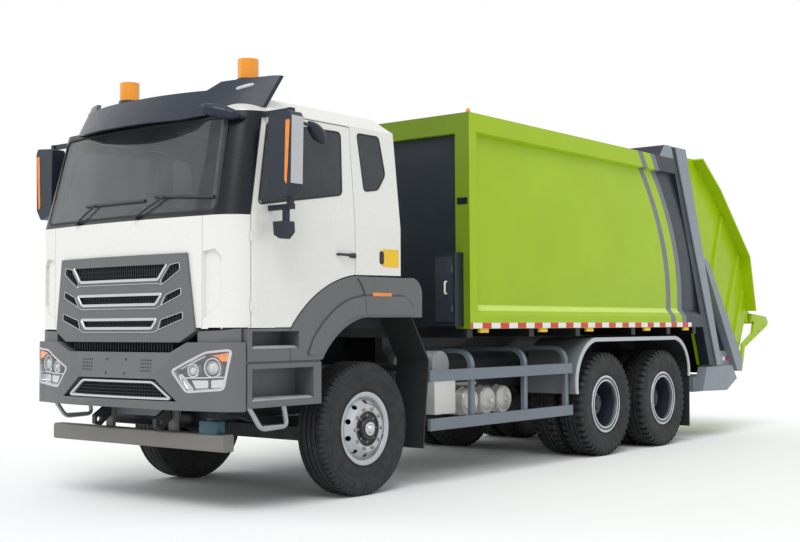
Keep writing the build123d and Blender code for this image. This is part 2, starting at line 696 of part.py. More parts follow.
# Visor shell between two bowed outlines, cut to its front outline with the raised end wings
def visor_outline(z, end, middle, half, depth):
    with BuildSketch(Plane.XY.offset(z)) as outline:
        with BuildLine():
            front = ThreePointArc((X(end), across(half)), (X(middle), 0), (X(end), across(-half)))
            back = ThreePointArc((X(end - depth), across(half)), (X(middle - depth), 0), (X(end - depth), across(-half)))
            Line(front @ 0, back @ 0)
            Line(front @ 1, back @ 1)
        make_face()
    return outline.sketch


visor_sheet = 42
visor_half = [(0, -58), (600, -50), (1090, 30), (1300, 60), (1300, 300), (1130, 302), (770, 268), (690, 196), (0, 184)]
visor_face = [(y, cab_gutter + rise) for y, rise in visor_half]
visor_face += [(-y, cab_gutter + rise) for y, rise in visor_half[-2:0:-1]]
spy_tip = Vector(X(1560), across(830), cab_gutter + 22)
spy_root = Vector(X(1395), across(1105), cab_gutter - 58)
spy_foot = Vector(X(1270), across(1090), cab_gutter - 70)
spy_radius = 55
spy_arm_radius = 14
spy_line = spy_root - spy_tip
spy_profile = [(0, 0), (0.03, 0.35), (0.16, 0.75), (0.36, 0.97), (0.64, 0.97), (0.84, 0.75), (0.97, 0.35), (1, 0)]
with BuildPart() as spy_shell:
    with BuildSketch(Plane.XY):
        with BuildLine():
            Polyline(*[(spy_line.length * run, spy_radius * bulge) for run, bulge in spy_profile], close=True)
        make_face()
    revolve(axis=Axis.X)
with BuildPart() as spy_mirror:
    with Locations(Plane(spy_tip, x_dir=spy_line, z_dir=spy_line.cross(Vector(0, 0, 1)))):
        add(spy_shell.part)
    with Locations(Plane(spy_foot, z_dir=spy_root - spy_foot)):
        Cylinder(spy_arm_radius, (spy_root - spy_foot).length, align=(Align.CENTER, Align.CENTER, Align.MIN))
    add(cab_outer, mode=Mode.SUBTRACT)
with BuildPart() as sun_visor:
    loft([visor_outline(cab_gutter - 60, 1250, 1672, 1125, visor_sheet).face(),
          visor_outline(cab_gutter + 310, 1030, 1395, 1178, visor_sheet).face()], ruled=True)
    extrude(front_face(700, visor_face), amount=1100, mode=Mode.INTERSECT)
    for y in (-540, 460):
        add(block(1200, 1440, y, y + 80, cab_gutter + 90, cab_gutter + 150))
    add(cab_outer, mode=Mode.SUBTRACT)
    add(spy_mirror.part)
sun_visor.part.label = "sun_visor"
export_step(sun_visor.part, "parts/sun_visor.step")

beacon_radius = 85
beacon_base = 201
beacon_height = 160
with BuildPart() as beacons:
    for y in (-740, 740):
        add(bar_z(954, y, beacon_radius + 10, cab_roof, cab_roof + beacon_base))
        add(bar_z(954, y, beacon_radius, cab_roof + beacon_base, cab_roof + beacon_base + beacon_height))
beacons.part.label = "beacons"
export_step(beacons.part, "parts/beacons.step")

# Dashboard and right-hand steering wheel, then the two seats
with BuildPart() as cab_interior:
    add(plate([(1600, 2180), (1250, 2200), (1140, 2000), (1330, 1750), (1600, 1750)], 900, -900))
    with Locations(Location((X(1210), across(-600), 2040), (0, -60, 0))):
        Cylinder(40, 420, align=(Align.CENTER, Align.CENTER, Align.MIN))
    with Locations(Location((X(846), across(-600), 2250), (0, -60, 0))):
        Torus(215, 18)
        Box(400, 50, 24)
    add(cab_core, mode=Mode.INTERSECT)
cab_interior.part.label = "cab_interior"
export_step(cab_interior.part, "parts/cab_interior.step")

with BuildPart() as cab_seats:
    for y in (600, -600):
        add(block(-160, 200, y - 200, y + 200, 1892, 1990))
        add(block(-180, 380, y - 260, y + 260, 1990, 2120))
        add(plate([(-180, 2000), (-60, 2000), (-150, 2850), (-270, 2850)], y + 250, y - 250))
cab_seats.part.label = "cab_seats"
export_step(cab_seats.part, "parts/cab_seats.step")

# Left door with its glass and mirror, mirrored for the right
with BuildPart() as door_left:
    add(cab_skin.part)
    add(plate(door_outline, 1300, 900), mode=Mode.INTERSECT)
    add(pane(door_window, pane_corner, 1400, 900), mode=Mode.SUBTRACT)
    for z in hinge_heights:
        add(bar_z(hinge_x, hinge_y, hinge_radius, z - 40, z + 40))
with BuildPart() as door_left_glass:
    add(pane(door_window, pane_corner, 1400, 900))
    add(cab_outer, mode=Mode.INTERSECT)
    add(glass_core, mode=Mode.SUBTRACT)
mirror_low = cab_gutter - 690
mirror_high = cab_gutter - 50
mirror_head = [(1338, mirror_high - 15), (1545, mirror_high), (1572, mirror_high - 40), (1560, mirror_low + 90),
               (1500, mirror_low), (1345, mirror_low + 40)]
spot_pod = [(1330, mirror_low - 170), (1450, mirror_low - 170), (1455, mirror_low - 250), (1400, mirror_low - 300),
            (1340, mirror_low - 270)]
with BuildPart() as door_left_mirror:
    with BuildSketch(Plane.YZ.offset(X(1195))) as head:
        with BuildLine():
            Polyline(*[(across(y), z) for y, z in mirror_head], close=True)
        make_face()
        fillet(head.vertices(), 22)
    extrude(amount=135)
    add(block(1190, 1230, 1150, 1480, mirror_high, mirror_high + 40))
    add(block(1190, 1230, 1150, 1480, mirror_low - 80, mirror_low - 40))
    add(block(1200, 1240, 1440, 1480, mirror_low - 80, mirror_low + 40))
    add(block(1200, 1240, 1440, 1480, mirror_high - 30, mirror_high + 40))
    add(block(1200, 1240, 1395, 1435, mirror_low - 190, mirror_low - 40))
    extrude(front_face(1165, spot_pod), amount=110)
    add(cab_outer, mode=Mode.SUBTRACT)
for name, solid in (("door", door_left), ("glass", door_left_glass), ("mirror", door_left_mirror)):
    suffix = "" if name == "door" else "_" + name
    solid.part.label = "door_left" + suffix
    export_step(solid.part, "parts/door_left" + suffix + ".step")
    with BuildPart() as right_copy:
        mirror(solid.part, about=Plane.XZ)
    right_copy.part.label = "door_right" + suffix
    export_step(right_copy.part, "parts/door_right" + suffix + ".step")

# Left steering knuckle, mirrored for the right, and the tie rod resting over both arms
tie_rod_end = 815
arm_outline = [(-30, 855), (-160, 790), (-206, 790), (-206, 840), (-60, 905), (-30, 905)]
with BuildPart() as knuckle_left:
    add(bar_z(0, kingpin_y, 55, 615, 665))
    add(bar_z(0, kingpin_y, 55, 445, 495))
    add(block(-50, 50, kingpin_y, 963, 615, 665))
    add(block(-50, 50, kingpin_y, 963, 445, 495))
    add(block(-50, 50, 963, 1000, 445, 665))
    add(bar_z(0, kingpin_y, 25, 495, 615))
    add(bar_y(0, tyre_radius, 190, 1000, 1010))
    add(bar_y(0, tyre_radius, 40, 1010, 1110))
    with BuildSketch(Plane.XY.offset(445)):
        with BuildLine():
            Polyline(*[(X(x), across(y)) for x, y in arm_outline], close=True)
        make_face()
    extrude(amount=40)
knuckle_left.part.label = "knuckle_left"
export_step(knuckle_left.part, "parts/knuckle_left.step")
with BuildPart() as knuckle_right:
    mirror(knuckle_left.part, about=Plane.XZ)
knuckle_right.part.label = "knuckle_right"
export_step(knuckle_right.part, "parts/knuckle_right.step")

with BuildPart() as tie_rod:
    add(bar_y(-180, 512, 20, 20 - tie_rod_end, tie_rod_end - 20))
    for y in (-tie_rod_end, tie_rod_end):
        add(bar_z(-180, y, 26, 485.3, 535))
tie_rod.part.label = "tie_rod"
export_step(tie_rod.part, "parts/tie_rod.step")


# Tyre turned about its own axle, and the two wheel forms
def turned(profile):
    with BuildPart() as solid:
        with BuildSketch(Plane.XY):
            with BuildLine():
                Polyline(*profile, close=True)
            make_face()
        revolve(axis=Axis.Y)
    return solid.part


def tyre_form():
    half = tyre_width / 2
    flank = rim_radius + 50
    shoulder = tyre_radius - 30
    belly = (flank + shoulder) / 2
    with BuildPart() as solid:
        with BuildSketch(Plane.XY):
            with BuildLine():
                Line((rim_radius, -112), (rim_radius, 112))
                Line((rim_radius, 112), (flank, 117))
                ThreePointArc((flank, 117), (belly, half), (shoulder, half - 14))
                Line((shoulder, half - 14), (tyre_radius, half - 40))
                Line((tyre_radius, half - 40), (tyre_radius, 40 - half))
                Line((tyre_radius, 40 - half), (shoulder, 14 - half))
                ThreePointArc((shoulder, 14 - half), (belly, -half), (flank, -117))
                Line((flank, -117), (rim_radius, -112))
            make_face()
        revolve(axis=Axis.Y)
    return solid.part


hand_holes = 10
hand_hole_radius = 21
hand_hole_ring = 192


def front_rim_form():
    with BuildPart() as solid:
        add(turned([(rim_radius, -119), (rim_radius, 119), (306, 121), (306, 132), (248, 132), (248, 60), (225, 75),
                    (150, 70), (110, 100), (110, 150), (70, 160), (40.3, 160), (40.3, 0), (100, 0), (150, 40), (225, 45),
                    (240, 30), (248, -100), (240, -132), (306, -132), (306, -121)]))
        for hole in range(hand_holes):
            turn = radians(360 * hole / hand_holes)
            with Locations(Location((hand_hole_ring * cos(turn), 0, hand_hole_ring * sin(turn)), (-90, 0, 0))):
                Cylinder(hand_hole_radius, 300, mode=Mode.SUBTRACT)
    return solid.part


def rear_rim_form():
    return turned([(rim_radius, 51), (rim_radius, 289), (306, 291), (306, 302), (246, 302), (246, 60), (226, 12),
                   (150, 12), (150, 130), (120, 160), (60.3, 160), (60.3, -230), (205, -230), (205, -12), (226, -12),
                   (246, -60), (246, -302), (306, -302), (306, -291), (rim_radius, -289), (rim_radius, -51), (240, 0)])


tyre = tyre_form()
front_rim = front_rim_form()
rear_rim = rear_rim_form()
twin_y = (rear_outer_y + rear_inner_y) / 2
for hand, flip in (("left", 1), ("right", -1)):
    turn = 0 if flip == 1 else 180
    with BuildPart() as front_tyre:
        with Locations((X(0), across(flip * front_track_half), tyre_radius)):
            add(tyre)
    front_tyre.part.label = "tyre_front_" + hand
    export_step(front_tyre.part, "parts/tyre_front_" + hand + ".step")
    with BuildPart() as front_wheel:
        with Locations(Location((X(0), across(flip * front_track_half), tyre_radius), (0, 0, turn))):
            add(front_rim)
    front_wheel.part.label = "rim_front_" + hand
    export_step(front_wheel.part, "parts/rim_front_" + hand + ".step")
    for number, station in ((1, axle_2), (2, axle_3)):
        with BuildPart() as rear_tyres:
            for y in (rear_outer_y, rear_inner_y):
                with Locations((X(station), across(flip * y), tyre_radius)):
                    add(tyre)
        rear_tyres.part.label = f"tyres_rear_{number}_{hand}"
        export_step(rear_tyres.part, f"parts/tyres_rear_{number}_{hand}.step")
        with BuildPart() as rear_wheel:
            with Locations(Location((X(station), across(flip * twin_y), tyre_radius), (0, 0, turn))):
                add(rear_rim)
        rear_wheel.part.label = f"rims_rear_{number}_{hand}"
        export_step(rear_wheel.part, f"parts/rims_rear_{number}_{hand}.step")

# Tailgate: side plates with eyes, edge flanges and ribs
lifter_pivot = (-8130, 1500)
gate_rear = [(-7650, 790), (-7780, 1100), (-8040, 1590), (-7870, 2310), (-6970, 3130), (-6450, 3480)]
with BuildPart() as tailgate_sides:
    front_off = -6 / cos(radians(tail_lean))
    add(plate([(joint_x(3420) + front_off, 3420), (joint_x(900) + front_off, 900), (-6900, 790)] + gate_rear +
              [(gate_hinge[0], 3480)], gate_plate_out, gate_plate_in))
    add(bar_y(gate_hinge[0], gate_hinge[1], 64, gate_plate_in, gate_plate_out))
    add(bar_y(gate_hinge[0], gate_hinge[1], 35.3, 1000, 1150), mode=Mode.SUBTRACT)
    add(plate([(-7985, 1440), (-8130, 1440), (-8185, 1500), (-8130, 1560), (-8010, 1620)], gate_plate_out, gate_plate_in))
    add(bar_y(lifter_pivot[0], lifter_pivot[1], 25, gate_plate_out, 1150))
    add(plate(ribbon(gate_rear[2:], -22), 1240, gate_plate_out))
    for low, high in (((-6900, 2010), (-7215, 2820)), ((-7330, 1490), (-7725, 2330)), ((-7560, 1230), (-7860, 1880))):
        add(plate(ribbon([low, high], 60), 1130, gate_plate_out))
    mirror(about=Plane.XZ)
tailgate_sides.part.label = "tailgate_sides"
export_step(tailgate_sides.part, "parts/tailgate_sides.step")

# Grey slideway rails and foot plates outside the side plates
with BuildPart() as tailgate_rails:
    add(plate([(-6500, 2230), (-6620, 2230), (-7640, 960), (-7600, 800), (-7480, 800)], 1200, gate_plate_out))
    add(plate([(-6850, 1060), (-7360, 1060), (-7500, 840), (-6880, 830)], 1124, gate_plate_out))
    mirror(about=Plane.XZ)
tailgate_rails.part.label = "tailgate_rails"
export_step(tailgate_rails.part, "parts/tailgate_rails.step")

# Bent sheets between the side plates: cover above, hopper below
with BuildPart() as tailgate_skins:
    add(plate(ribbon([(gate_hinge[0] - 80, 3480), (-6450, 3480), (-6970, 3130), (-7870, 2310)], 40), gate_plate_in, -gate_plate_in))
    add(plate(ribbon([(-8040, 1590), (-7780, 1100), (-7650, 790), (-6900, 790), (-6420, 1380)], 40), gate_plate_in, -gate_plate_in))
tailgate_skins.part.label = "tailgate_skins"
export_step(tailgate_skins.part, "parts/tailgate_skins.step")

# Packing carriage on the slope, and the blade hinged at its foot
slope = (-0.632, -0.775)
carriage_top = (-6150, 2900)
carriage_length = 900


def along(s, off=0):
    return (carriage_top[0] + slope[0] * s + slope[1] * off, carriage_top[1] + slope[1] * s - slope[0] * off)


packer_hinge = along(carriage_length)
with BuildPart() as carriage:
    add(plate([along(0, -40), along(0, 40), along(820, 40), along(820, -40)], 1040, -1040))
    for start in (40, 600):
        add(plate([along(start, -40), along(start, 40), along(start + 180, 40), along(start + 180, -40)],
                  gate_plate_in - 0.3, 0.3 - gate_plate_in))
    for y in (985, -1035):
        add(plate([along(780, -40), along(780, 40), along(900, 58), along(955, 20), along(955, -20), along(900, -58)], y + 50, y))
        add(bar_y(packer_hinge[0], packer_hinge[1], 30.3, y - 5, y + 55), mode=Mode.SUBTRACT)
carriage.part.label = "carriage"
export_step(carriage.part, "parts/carriage.step")

with BuildPart() as packer_blade:
    add(bar_y(packer_hinge[0], packer_hinge[1], 50, -975, 975))
    add(bar_y(packer_hinge[0], packer_hinge[1], 30, -1035, 1035))
    add(plate([along(900, 30), along(1650, 10), along(1740, -60), along(1650, -80), along(900, -40)], 975, -975))
packer_blade.part.label = "packer_blade"
export_step(packer_blade.part, "parts/packer_blade.step")

# Bin lifter: holed arms outside the side plates, joined by two cross tubes
arm_holes = [(-8480, 1375), (-8330, 1318), (-8180, 1262), (-8030, 1206), (-7890, 1150)]
with BuildPart() as bin_lifter:
    arm = [(-8090, 1550), (-8590, 1510), (-8650, 1440), (-8630, 1390), (-7850, 1100), (-7750, 790), (-7690, 790),
           (-7790, 1150), (-8120, 1290), (-8180, 1440), (-8085, 1450)]
    add(plate(arm, 1150, 1115))
    add(bar_y(lifter_pivot[0], lifter_pivot[1], 25.3, 1100, 1200), mode=Mode.SUBTRACT)
    for station, z in arm_holes:
        add(bar_y(station, z, 14, 1100, 1200), mode=Mode.SUBTRACT)
    mirror(about=Plane.XZ)
    add(bar_y(-8540, 1450, 35, -1120, 1120))
    add(bar_y(-7745, 830, 28, -1120, 1120))
bin_lifter.part.label = "bin_lifter"
export_step(bin_lifter.part, "parts/bin_lifter.step")

# Gate lift cylinders: barrels on the body feet, rods ending at the gate
reach = hypot(lift_eye[0] - lift_foot[0], lift_eye[1] - lift_foot[1])
lift_turn = 90 - Vector(lift_eye[0] - lift_foot[0], 0, lift_eye[1] - lift_foot[1]).get_angle(Vector(1, 0, 0))
with BuildPart() as lift_barrels:
    for y in (lift_y, -lift_y):
        add(bar_y(lift_foot[0], lift_foot[1], 45, y - 40, y + 40))
        with Locations(Location((X(lift_foot[0]), across(y), lift_foot[1]), (0, lift_turn, 0))):
            Cylinder(42, 1400, align=(Align.CENTER, Align.CENTER, Align.MIN))
            Cylinder(25.1, 1500, align=(Align.CENTER, Align.CENTER, Align.MIN), mode=Mode.SUBTRACT)
            Cylinder(42, 120, align=(Align.CENTER, Align.CENTER, Align.MIN))
        add(bar_y(lift_foot[0], lift_foot[1], 25.3, y - 60, y + 60), mode=Mode.SUBTRACT)
lift_barrels.part.label = "lift_barrels"
export_step(lift_barrels.part, "parts/lift_barrels.step")

with BuildPart() as lift_rods:
    for y in (lift_y, -lift_y):
        with Locations(Location((X(lift_foot[0]), across(y), lift_foot[1]), (0, lift_turn, 0))):
            with Locations((0, 0, 300)):
                Cylinder(25, reach - 300, align=(Align.CENTER, Align.CENTER, Align.MIN))
        toward = 1 if y > 0 else -1
        add(bar_y(lift_eye[0], lift_eye[1], 45, y - toward * 64, y + toward * 40))
lift_rods.part.label = "lift_rods"
export_step(lift_rods.part, "parts/lift_rods.step")
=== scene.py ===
import json
import math
import bmesh
import bpy
from mathutils import Matrix, Vector


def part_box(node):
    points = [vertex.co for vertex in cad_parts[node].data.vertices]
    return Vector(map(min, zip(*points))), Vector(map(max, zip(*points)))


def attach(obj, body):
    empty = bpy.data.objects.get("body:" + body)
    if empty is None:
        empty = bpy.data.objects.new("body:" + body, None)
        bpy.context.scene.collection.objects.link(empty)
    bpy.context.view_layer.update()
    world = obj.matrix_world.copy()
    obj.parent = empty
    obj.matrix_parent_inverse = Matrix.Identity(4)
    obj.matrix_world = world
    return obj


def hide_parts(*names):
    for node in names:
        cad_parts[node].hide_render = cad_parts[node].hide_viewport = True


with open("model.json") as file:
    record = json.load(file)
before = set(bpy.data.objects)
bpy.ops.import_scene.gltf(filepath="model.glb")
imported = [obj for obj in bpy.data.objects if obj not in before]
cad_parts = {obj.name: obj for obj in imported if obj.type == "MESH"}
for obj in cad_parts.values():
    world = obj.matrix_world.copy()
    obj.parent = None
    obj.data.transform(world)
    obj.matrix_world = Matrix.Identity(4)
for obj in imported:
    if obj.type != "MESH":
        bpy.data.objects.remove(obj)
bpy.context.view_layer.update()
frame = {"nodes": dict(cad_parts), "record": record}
nodes = frame["nodes"]
finish = {}
axleX = 3.475  # front axle in the shared frame
print("frame loaded:", len(nodes), "nodes")


# Small helpers for the finishes
def linear(*levels):
    shares = [c / 255 for c in levels]
    return tuple(c / 12.92 if c <= 0.04045 else ((c + 0.055) / 1.055) ** 2.4 for c in shares)


def startFinish(name):
    finish[name] = bpy.data.materials.new(name)
    finish[name].use_nodes = True
    tree = finish[name].node_tree
    return tree, tree.nodes["Principled BSDF"]


def put(tree, kind, **settings):
    node = tree.nodes.new("ShaderNode" + kind)
    for key, value in settings.items():
        if key in node.inputs.keys():
            node.inputs[key].default_value = value
        else:
            setattr(node, key, value)
    return node


def feed(tree, node, values):
    for key, value in values.items():
        if isinstance(value, bpy.types.NodeSocket):
            tree.links.new(value, node.inputs[key])
        else:
            node.inputs[key].default_value = (*value, 1) if isinstance(value, tuple) else value


def noiseOn(tree, scale, detail=4, rough=0.55, stretch=None):
    place = put(tree, "TexCoord").outputs["Object"]
    noise = put(tree, "TexNoise", Scale=scale, Detail=detail, Roughness=rough)
    if stretch:
        fit = put(tree, "Mapping", Scale=stretch)
        feed(tree, fit, {"Vector": place})
        place = fit.outputs[0]
    feed(tree, noise, {"Vector": place})
    return noise.outputs["Fac"]


def spread(tree, value, low, high, fromLow=0.3, fromHigh=0.7):
    fit = put(tree, "MapRange")
    ends = {"From Min": fromLow, "From Max": fromHigh, "To Min": low, "To Max": high}
    feed(tree, fit, {"Value": value, **ends})
    return fit.outputs["Result"]


def blendColour(tree, factor, first, second):
    mix = put(tree, "Mix", data_type="RGBA")
    feed(tree, mix, {"Factor": factor, "A": first, "B": second})
    return mix.outputs["Result"]


def bumpFrom(tree, shader, height, strength, distance):
    bump = put(tree, "Bump", Strength=strength, Distance=distance)
    feed(tree, bump, {"Height": height})
    feed(tree, shader, {"Normal": bump.outputs["Normal"]})


# Camera, fitted to the wheels and the body's edges
shot = {"place": (7.787 + axleX, 7.732, 1.403), "yaw": 218.98, "pitch": 2.567, "roll": -0.2825,
        "focalPixels": 1219.34, "width": 800, "offset": (-9.24, 0.67), "sensor": 36, "far": 200}


def addCamera(shot):
    yaw, pitch, roll = (math.radians(shot[k]) for k in ("yaw", "pitch", "roll"))
    ahead = Vector((math.cos(yaw) * math.cos(pitch), math.sin(yaw) * math.cos(pitch), math.sin(pitch)))
    level = Vector((math.sin(yaw), -math.cos(yaw), 0))
    above = level.cross(ahead)
    across = level * math.cos(roll) + above * math.sin(roll)
    upward = above * math.cos(roll) - level * math.sin(roll)
    lens = bpy.data.cameras.new("shotCamera")
    lens.sensor_fit = "HORIZONTAL"
    lens.sensor_width = shot["sensor"]
    lens.lens = shot["sensor"] * shot["focalPixels"] / shot["width"]
    lens.shift_x = -shot["offset"][0] / shot["width"]
    lens.shift_y = shot["offset"][1] / shot["width"]
    lens.clip_end = shot["far"]
    camera = bpy.data.objects.new("shotCamera", lens)
    turn = Matrix((across, upward, -ahead)).transposed().to_4x4()
    camera.matrix_world = Matrix.Translation(shot["place"]) @ turn
    bpy.context.collection.objects.link(camera)
    bpy.context.scene.camera = camera


addCamera(shot)
bpy.context.scene.view_settings.view_transform = "Standard"

# Soft studio: pale floor, even sky, one wide key from the front left and a fill
studio = {"floorSize": 60, "floorColour": (0.97, 0.97, 0.97), "sky": 0.66, "skyColour": (0.97, 0.985, 1.0),
          "key": 1.5, "lampAngle": 35, "keyTurn": (38, 0, 118), "fill": 0.35, "fillTurn": (62, 0, 30)}


def addStudio(studio):
    half = studio["floorSize"] / 2
    mesh = bpy.data.meshes.new("floor")
    corners = [(-half, -half, 0), (half, -half, 0), (half, half, 0), (-half, half, 0)]
    mesh.from_pydata(corners, [], [(0, 1, 2, 3)])
    floor = bpy.data.objects.new("floor", mesh)
    bpy.context.collection.objects.link(floor)
    tree, shader = startFinish("paleFloor")
    feed(tree, shader, {"Base Color": studio["floorColour"], "Roughness": 0.9, "Specular IOR Level": 0.1})
    mesh.materials.append(finish["paleFloor"])
    world = bpy.data.worlds.new("studioSky")
    bpy.context.scene.world = world
    world.use_nodes = True
    tree = world.node_tree
    tree.nodes.clear()
    seen = put(tree, "Background", Color=(1, 1, 1, 1), Strength=1)
    lit = put(tree, "Background", Color=(*studio["skyColour"], 1), Strength=studio["sky"])
    rays = put(tree, "LightPath").outputs
    either = rays["Is Camera Ray"]
    for ray in ("Is Glossy Ray", "Is Transmission Ray"):
        most = put(tree, "Math", operation="MAXIMUM")
        feed(tree, most, {0: either, 1: rays[ray]})
        either = most.outputs[0]
    mix = put(tree, "MixShader")
    feed(tree, mix, {0: either, 1: lit.outputs[0], 2: seen.outputs[0]})
    feed(tree, put(tree, "OutputWorld"), {0: mix.outputs[0]})
    for name in ("key", "fill"):
        lamp = bpy.data.lights.new(name + "Lamp", "SUN")
        lamp.energy = studio[name]
        lamp.angle = math.radians(studio["lampAngle"])
        sun = bpy.data.objects.new(name + "Lamp", lamp)
        sun.rotation_euler = [math.radians(a) for a in studio[name + "Turn"]]
        bpy.context.collection.objects.link(sun)


addStudio(studio)
print("camera and studio ready")

# Painted and moulded finishes: colour drifts a little, gloss is uneven, the film has a fine ripple
coatColumns = ("colour", "drift", "gloss", "coat", "ripple", "grain", "shine")
coatRows = {
    "cabWhite": ((228, 227, 222), 0.012, (0.22, 0.32), 0.5, 0.006, 60, 0.5),
    "limePaint": ((160, 192, 6), 0.05, (0.34, 0.46), 0.12, 0.03, 45, 0.22),
    "slatePaint": ((48, 53, 62), 0.06, (0.34, 0.5), 0.15, 0.03, 50, 0.5),
    "greyPaint": ((126, 133, 142), 0.05, (0.36, 0.5), 0.1, 0.03, 50, 0.5),
    "guardPaint": ((102, 112, 124), 0.06, (0.32, 0.46), 0.1, 0.03, 60, 0.5),
    "chassisPaint": ((34, 35, 38), 0.12, (0.45, 0.65), 0.0, 0.06, 40, 0.5),
    "stripePaint": ((114, 117, 121), 0.04, (0.3, 0.42), 0.2, 0.03, 50, 0.5),
    "navyPaint": ((36, 42, 51), 0.06, (0.34, 0.5), 0.1, 0.03, 50, 0.3),
    "postPaint": ((134, 142, 152), 0.04, (0.32, 0.45), 0.1, 0.03, 50, 0.5),
    "guardGrey": ((112, 116, 122), 0.08, (0.4, 0.55), 0.0, 0.05, 60, 0.5),
    "edgeSilver": ((188, 191, 193), 0.05, (0.3, 0.42), 0.0, 0.03, 60, 0.5),
    "limePale": ((204, 224, 104), 0.03, (0.34, 0.46), 0.12, 0.03, 45, 0.3),
    # painted shadow for the fender's step line; the fender seam shares this dark grey
    "deepGrey": ((66, 67, 70), 0.05, (0.45, 0.58), 0.0, 0.1, 900, 0.5),
    # painted shade: the dark colour given to recesses and gaps that lie in shadow
    "recessPaint": ((34, 41, 48), 0.06, (0.4, 0.55), 0.05, 0.03, 50, 0.2),
    "limeShade": ((112, 140, 22), 0.05, (0.36, 0.48), 0.1, 0.03, 45, 0.5),
    "hubBlack": ((38, 39, 42), 0.08, (0.36, 0.5), 0.0, 0.08, 120, 0.5),
    "tankPaint": ((150, 154, 158), 0.06, (0.35, 0.5), 0.1, 0.03, 50, 0.5),
    "greyPlastic": ((98, 99, 101), 0.05, (0.42, 0.56), 0.0, 0.12, 900, 0.5),
    "blackPlastic": ((33, 34, 37), 0.08, (0.45, 0.6), 0.0, 0.14, 900, 0.5),
    "blackFrame": ((22, 24, 31), 0.06, (0.24, 0.34), 0.04, 0.02, 80, 0.25),
    "slatePlastic": ((35, 43, 56), 0.06, (0.3, 0.42), 0.04, 0.05, 500, 0.3),
    "barPaint": ((112, 110, 104), 0.05, (0.38, 0.5), 0.05, 0.04, 60, 0.5),
    "tealPaint": ((24, 72, 84), 0.06, (0.35, 0.5), 0.1, 0.03, 60, 0.5),
    "yellowPaint": ((238, 194, 18), 0.05, (0.35, 0.45), 0.1, 0.02, 80, 0.5),
    "engineIron": ((70, 72, 72), 0.15, (0.5, 0.7), 0.0, 0.25, 70, 0.5),
    "axleIron": ((44, 45, 47), 0.14, (0.5, 0.7), 0.0, 0.22, 70, 0.5),
    "flapRubber": ((30, 31, 33), 0.12, (0.6, 0.78), 0.0, 0.2, 120, 0.5),
}
coats = {name: dict(zip(coatColumns, row)) for name, row in coatRows.items()}


def shade(colour, factor):
    return tuple(min(1.0, c * factor) for c in colour)


def coatColour(tree, spec):
    base = linear(*spec["colour"])
    drift = spread(tree, noiseOn(tree, 1.3, 5), 0, 1)
    return blendColour(tree, drift, shade(base, 1 - spec["drift"]), shade(base, 1 + spec["drift"]))


def finishCoat(tree, shader, spec, colour):
    feed(tree, shader, {"Base Color": colour, "Roughness": spread(tree, noiseOn(tree, 6, 6), *spec["gloss"]),
        "Specular IOR Level": spec["shine"], "Coat Weight": spec["coat"], "Coat Roughness": 0.08})
    bumpFrom(tree, shader, noiseOn(tree, spec["grain"], 3), spec["ripple"], 0.002)


def finishOf(name):
    if name not in finish:
        tree, shader = startFinish(name)
        finishCoat(tree, shader, coats[name], coatColour(tree, coats[name]))
    return finish[name]


# Bare metals: brushed or rolled, with stains
metalColumns = ("colour", "stain", "metal", "gloss", "brush")
metalRows = {
    "tankAlloy": ((196, 196, 190), 0.86, 0.35, (0.24, 0.42), (4, 160, 4)),
    "rimSilver": ((186, 190, 194), 0.86, 0.85, (0.28, 0.42), (40, 40, 40)),
    "rodChrome": ((212, 214, 216), 0.95, 0.85, (0.08, 0.14), (60, 60, 10)),
    "brightTrim": ((205, 207, 210), 0.94, 0.85, (0.18, 0.28), (30, 30, 90)),
    "nutSteel": ((176, 170, 156), 0.78, 0.85, (0.28, 0.42), (60, 60, 60)),
    "frameSilver": ((206, 208, 211), 0.92, 0.85, (0.24, 0.34), (30, 30, 90)),
    "treadAlloy": ((170, 173, 176), 0.82, 0.85, (0.3, 0.48), (160, 6, 6)),
}
for name, row in metalRows.items():
    spec = dict(zip(metalColumns, row))
    tree, shader = startFinish(name)
    base = linear(*spec["colour"])
    stain = spread(tree, noiseOn(tree, 5, 6, 0.65), 0, 1)
    lines = noiseOn(tree, 6, 5, 0.6, spec["brush"])
    feed(tree, shader, {"Base Color": blendColour(tree, stain, shade(base, spec["stain"]), base),
        "Roughness": spread(tree, lines, *spec["gloss"]), "Metallic": spec["metal"]})
    bumpFrom(tree, shader, lines, 0.04, 0.001)


# Tyre rubber: dull, dusty in the lower relief
def tyreFinish():
    tree, shader = startFinish("tyreRubber")
    dust = spread(tree, noiseOn(tree, 9, 6, 0.7), 0, 1, 0.45, 0.8)
    feed(tree, shader, {"Base Color": blendColour(tree, dust, linear(27, 28, 31), linear(50, 50, 49)),
        "Roughness": spread(tree, noiseOn(tree, 14, 5), 0.62, 0.82)})
    bumpFrom(tree, shader, noiseOn(tree, 260, 3), 0.15, 0.002)


# Window glass: tinted, with a faint uneven film of dust
def glassFinish():
    tree, shader = startFinish("cabGlass")
    film = spread(tree, noiseOn(tree, 2.2, 6, 0.6), 0, 1)
    feed(tree, shader, {"Base Color": blendColour(tree, film, linear(104, 112, 118), linear(134, 140, 144)),
        "Roughness": spread(tree, film, 0.02, 0.06), "Transmission Weight": 0.82, "IOR": 1.12,
        "Coat Weight": 0.4, "Coat Roughness": 0.02})


# Lamp lenses: fluted, a little light goes through
def lensFinish(name, colour, tint, through):
    tree, shader = startFinish(name)
    flute = noiseOn(tree, 9, 2, 0.4, (1, 14, 1))
    tone = blendColour(tree, spread(tree, flute, 0, 1), linear(*colour), linear(*tint))
    feed(tree, shader, {"Base Color": tone, "Roughness": spread(tree, noiseOn(tree, 20, 4), 0.06, 0.16),
        "Transmission Weight": through, "IOR": 1.45, "Coat Weight": 0.5})
    bumpFrom(tree, shader, flute, 0.1, 0.004)


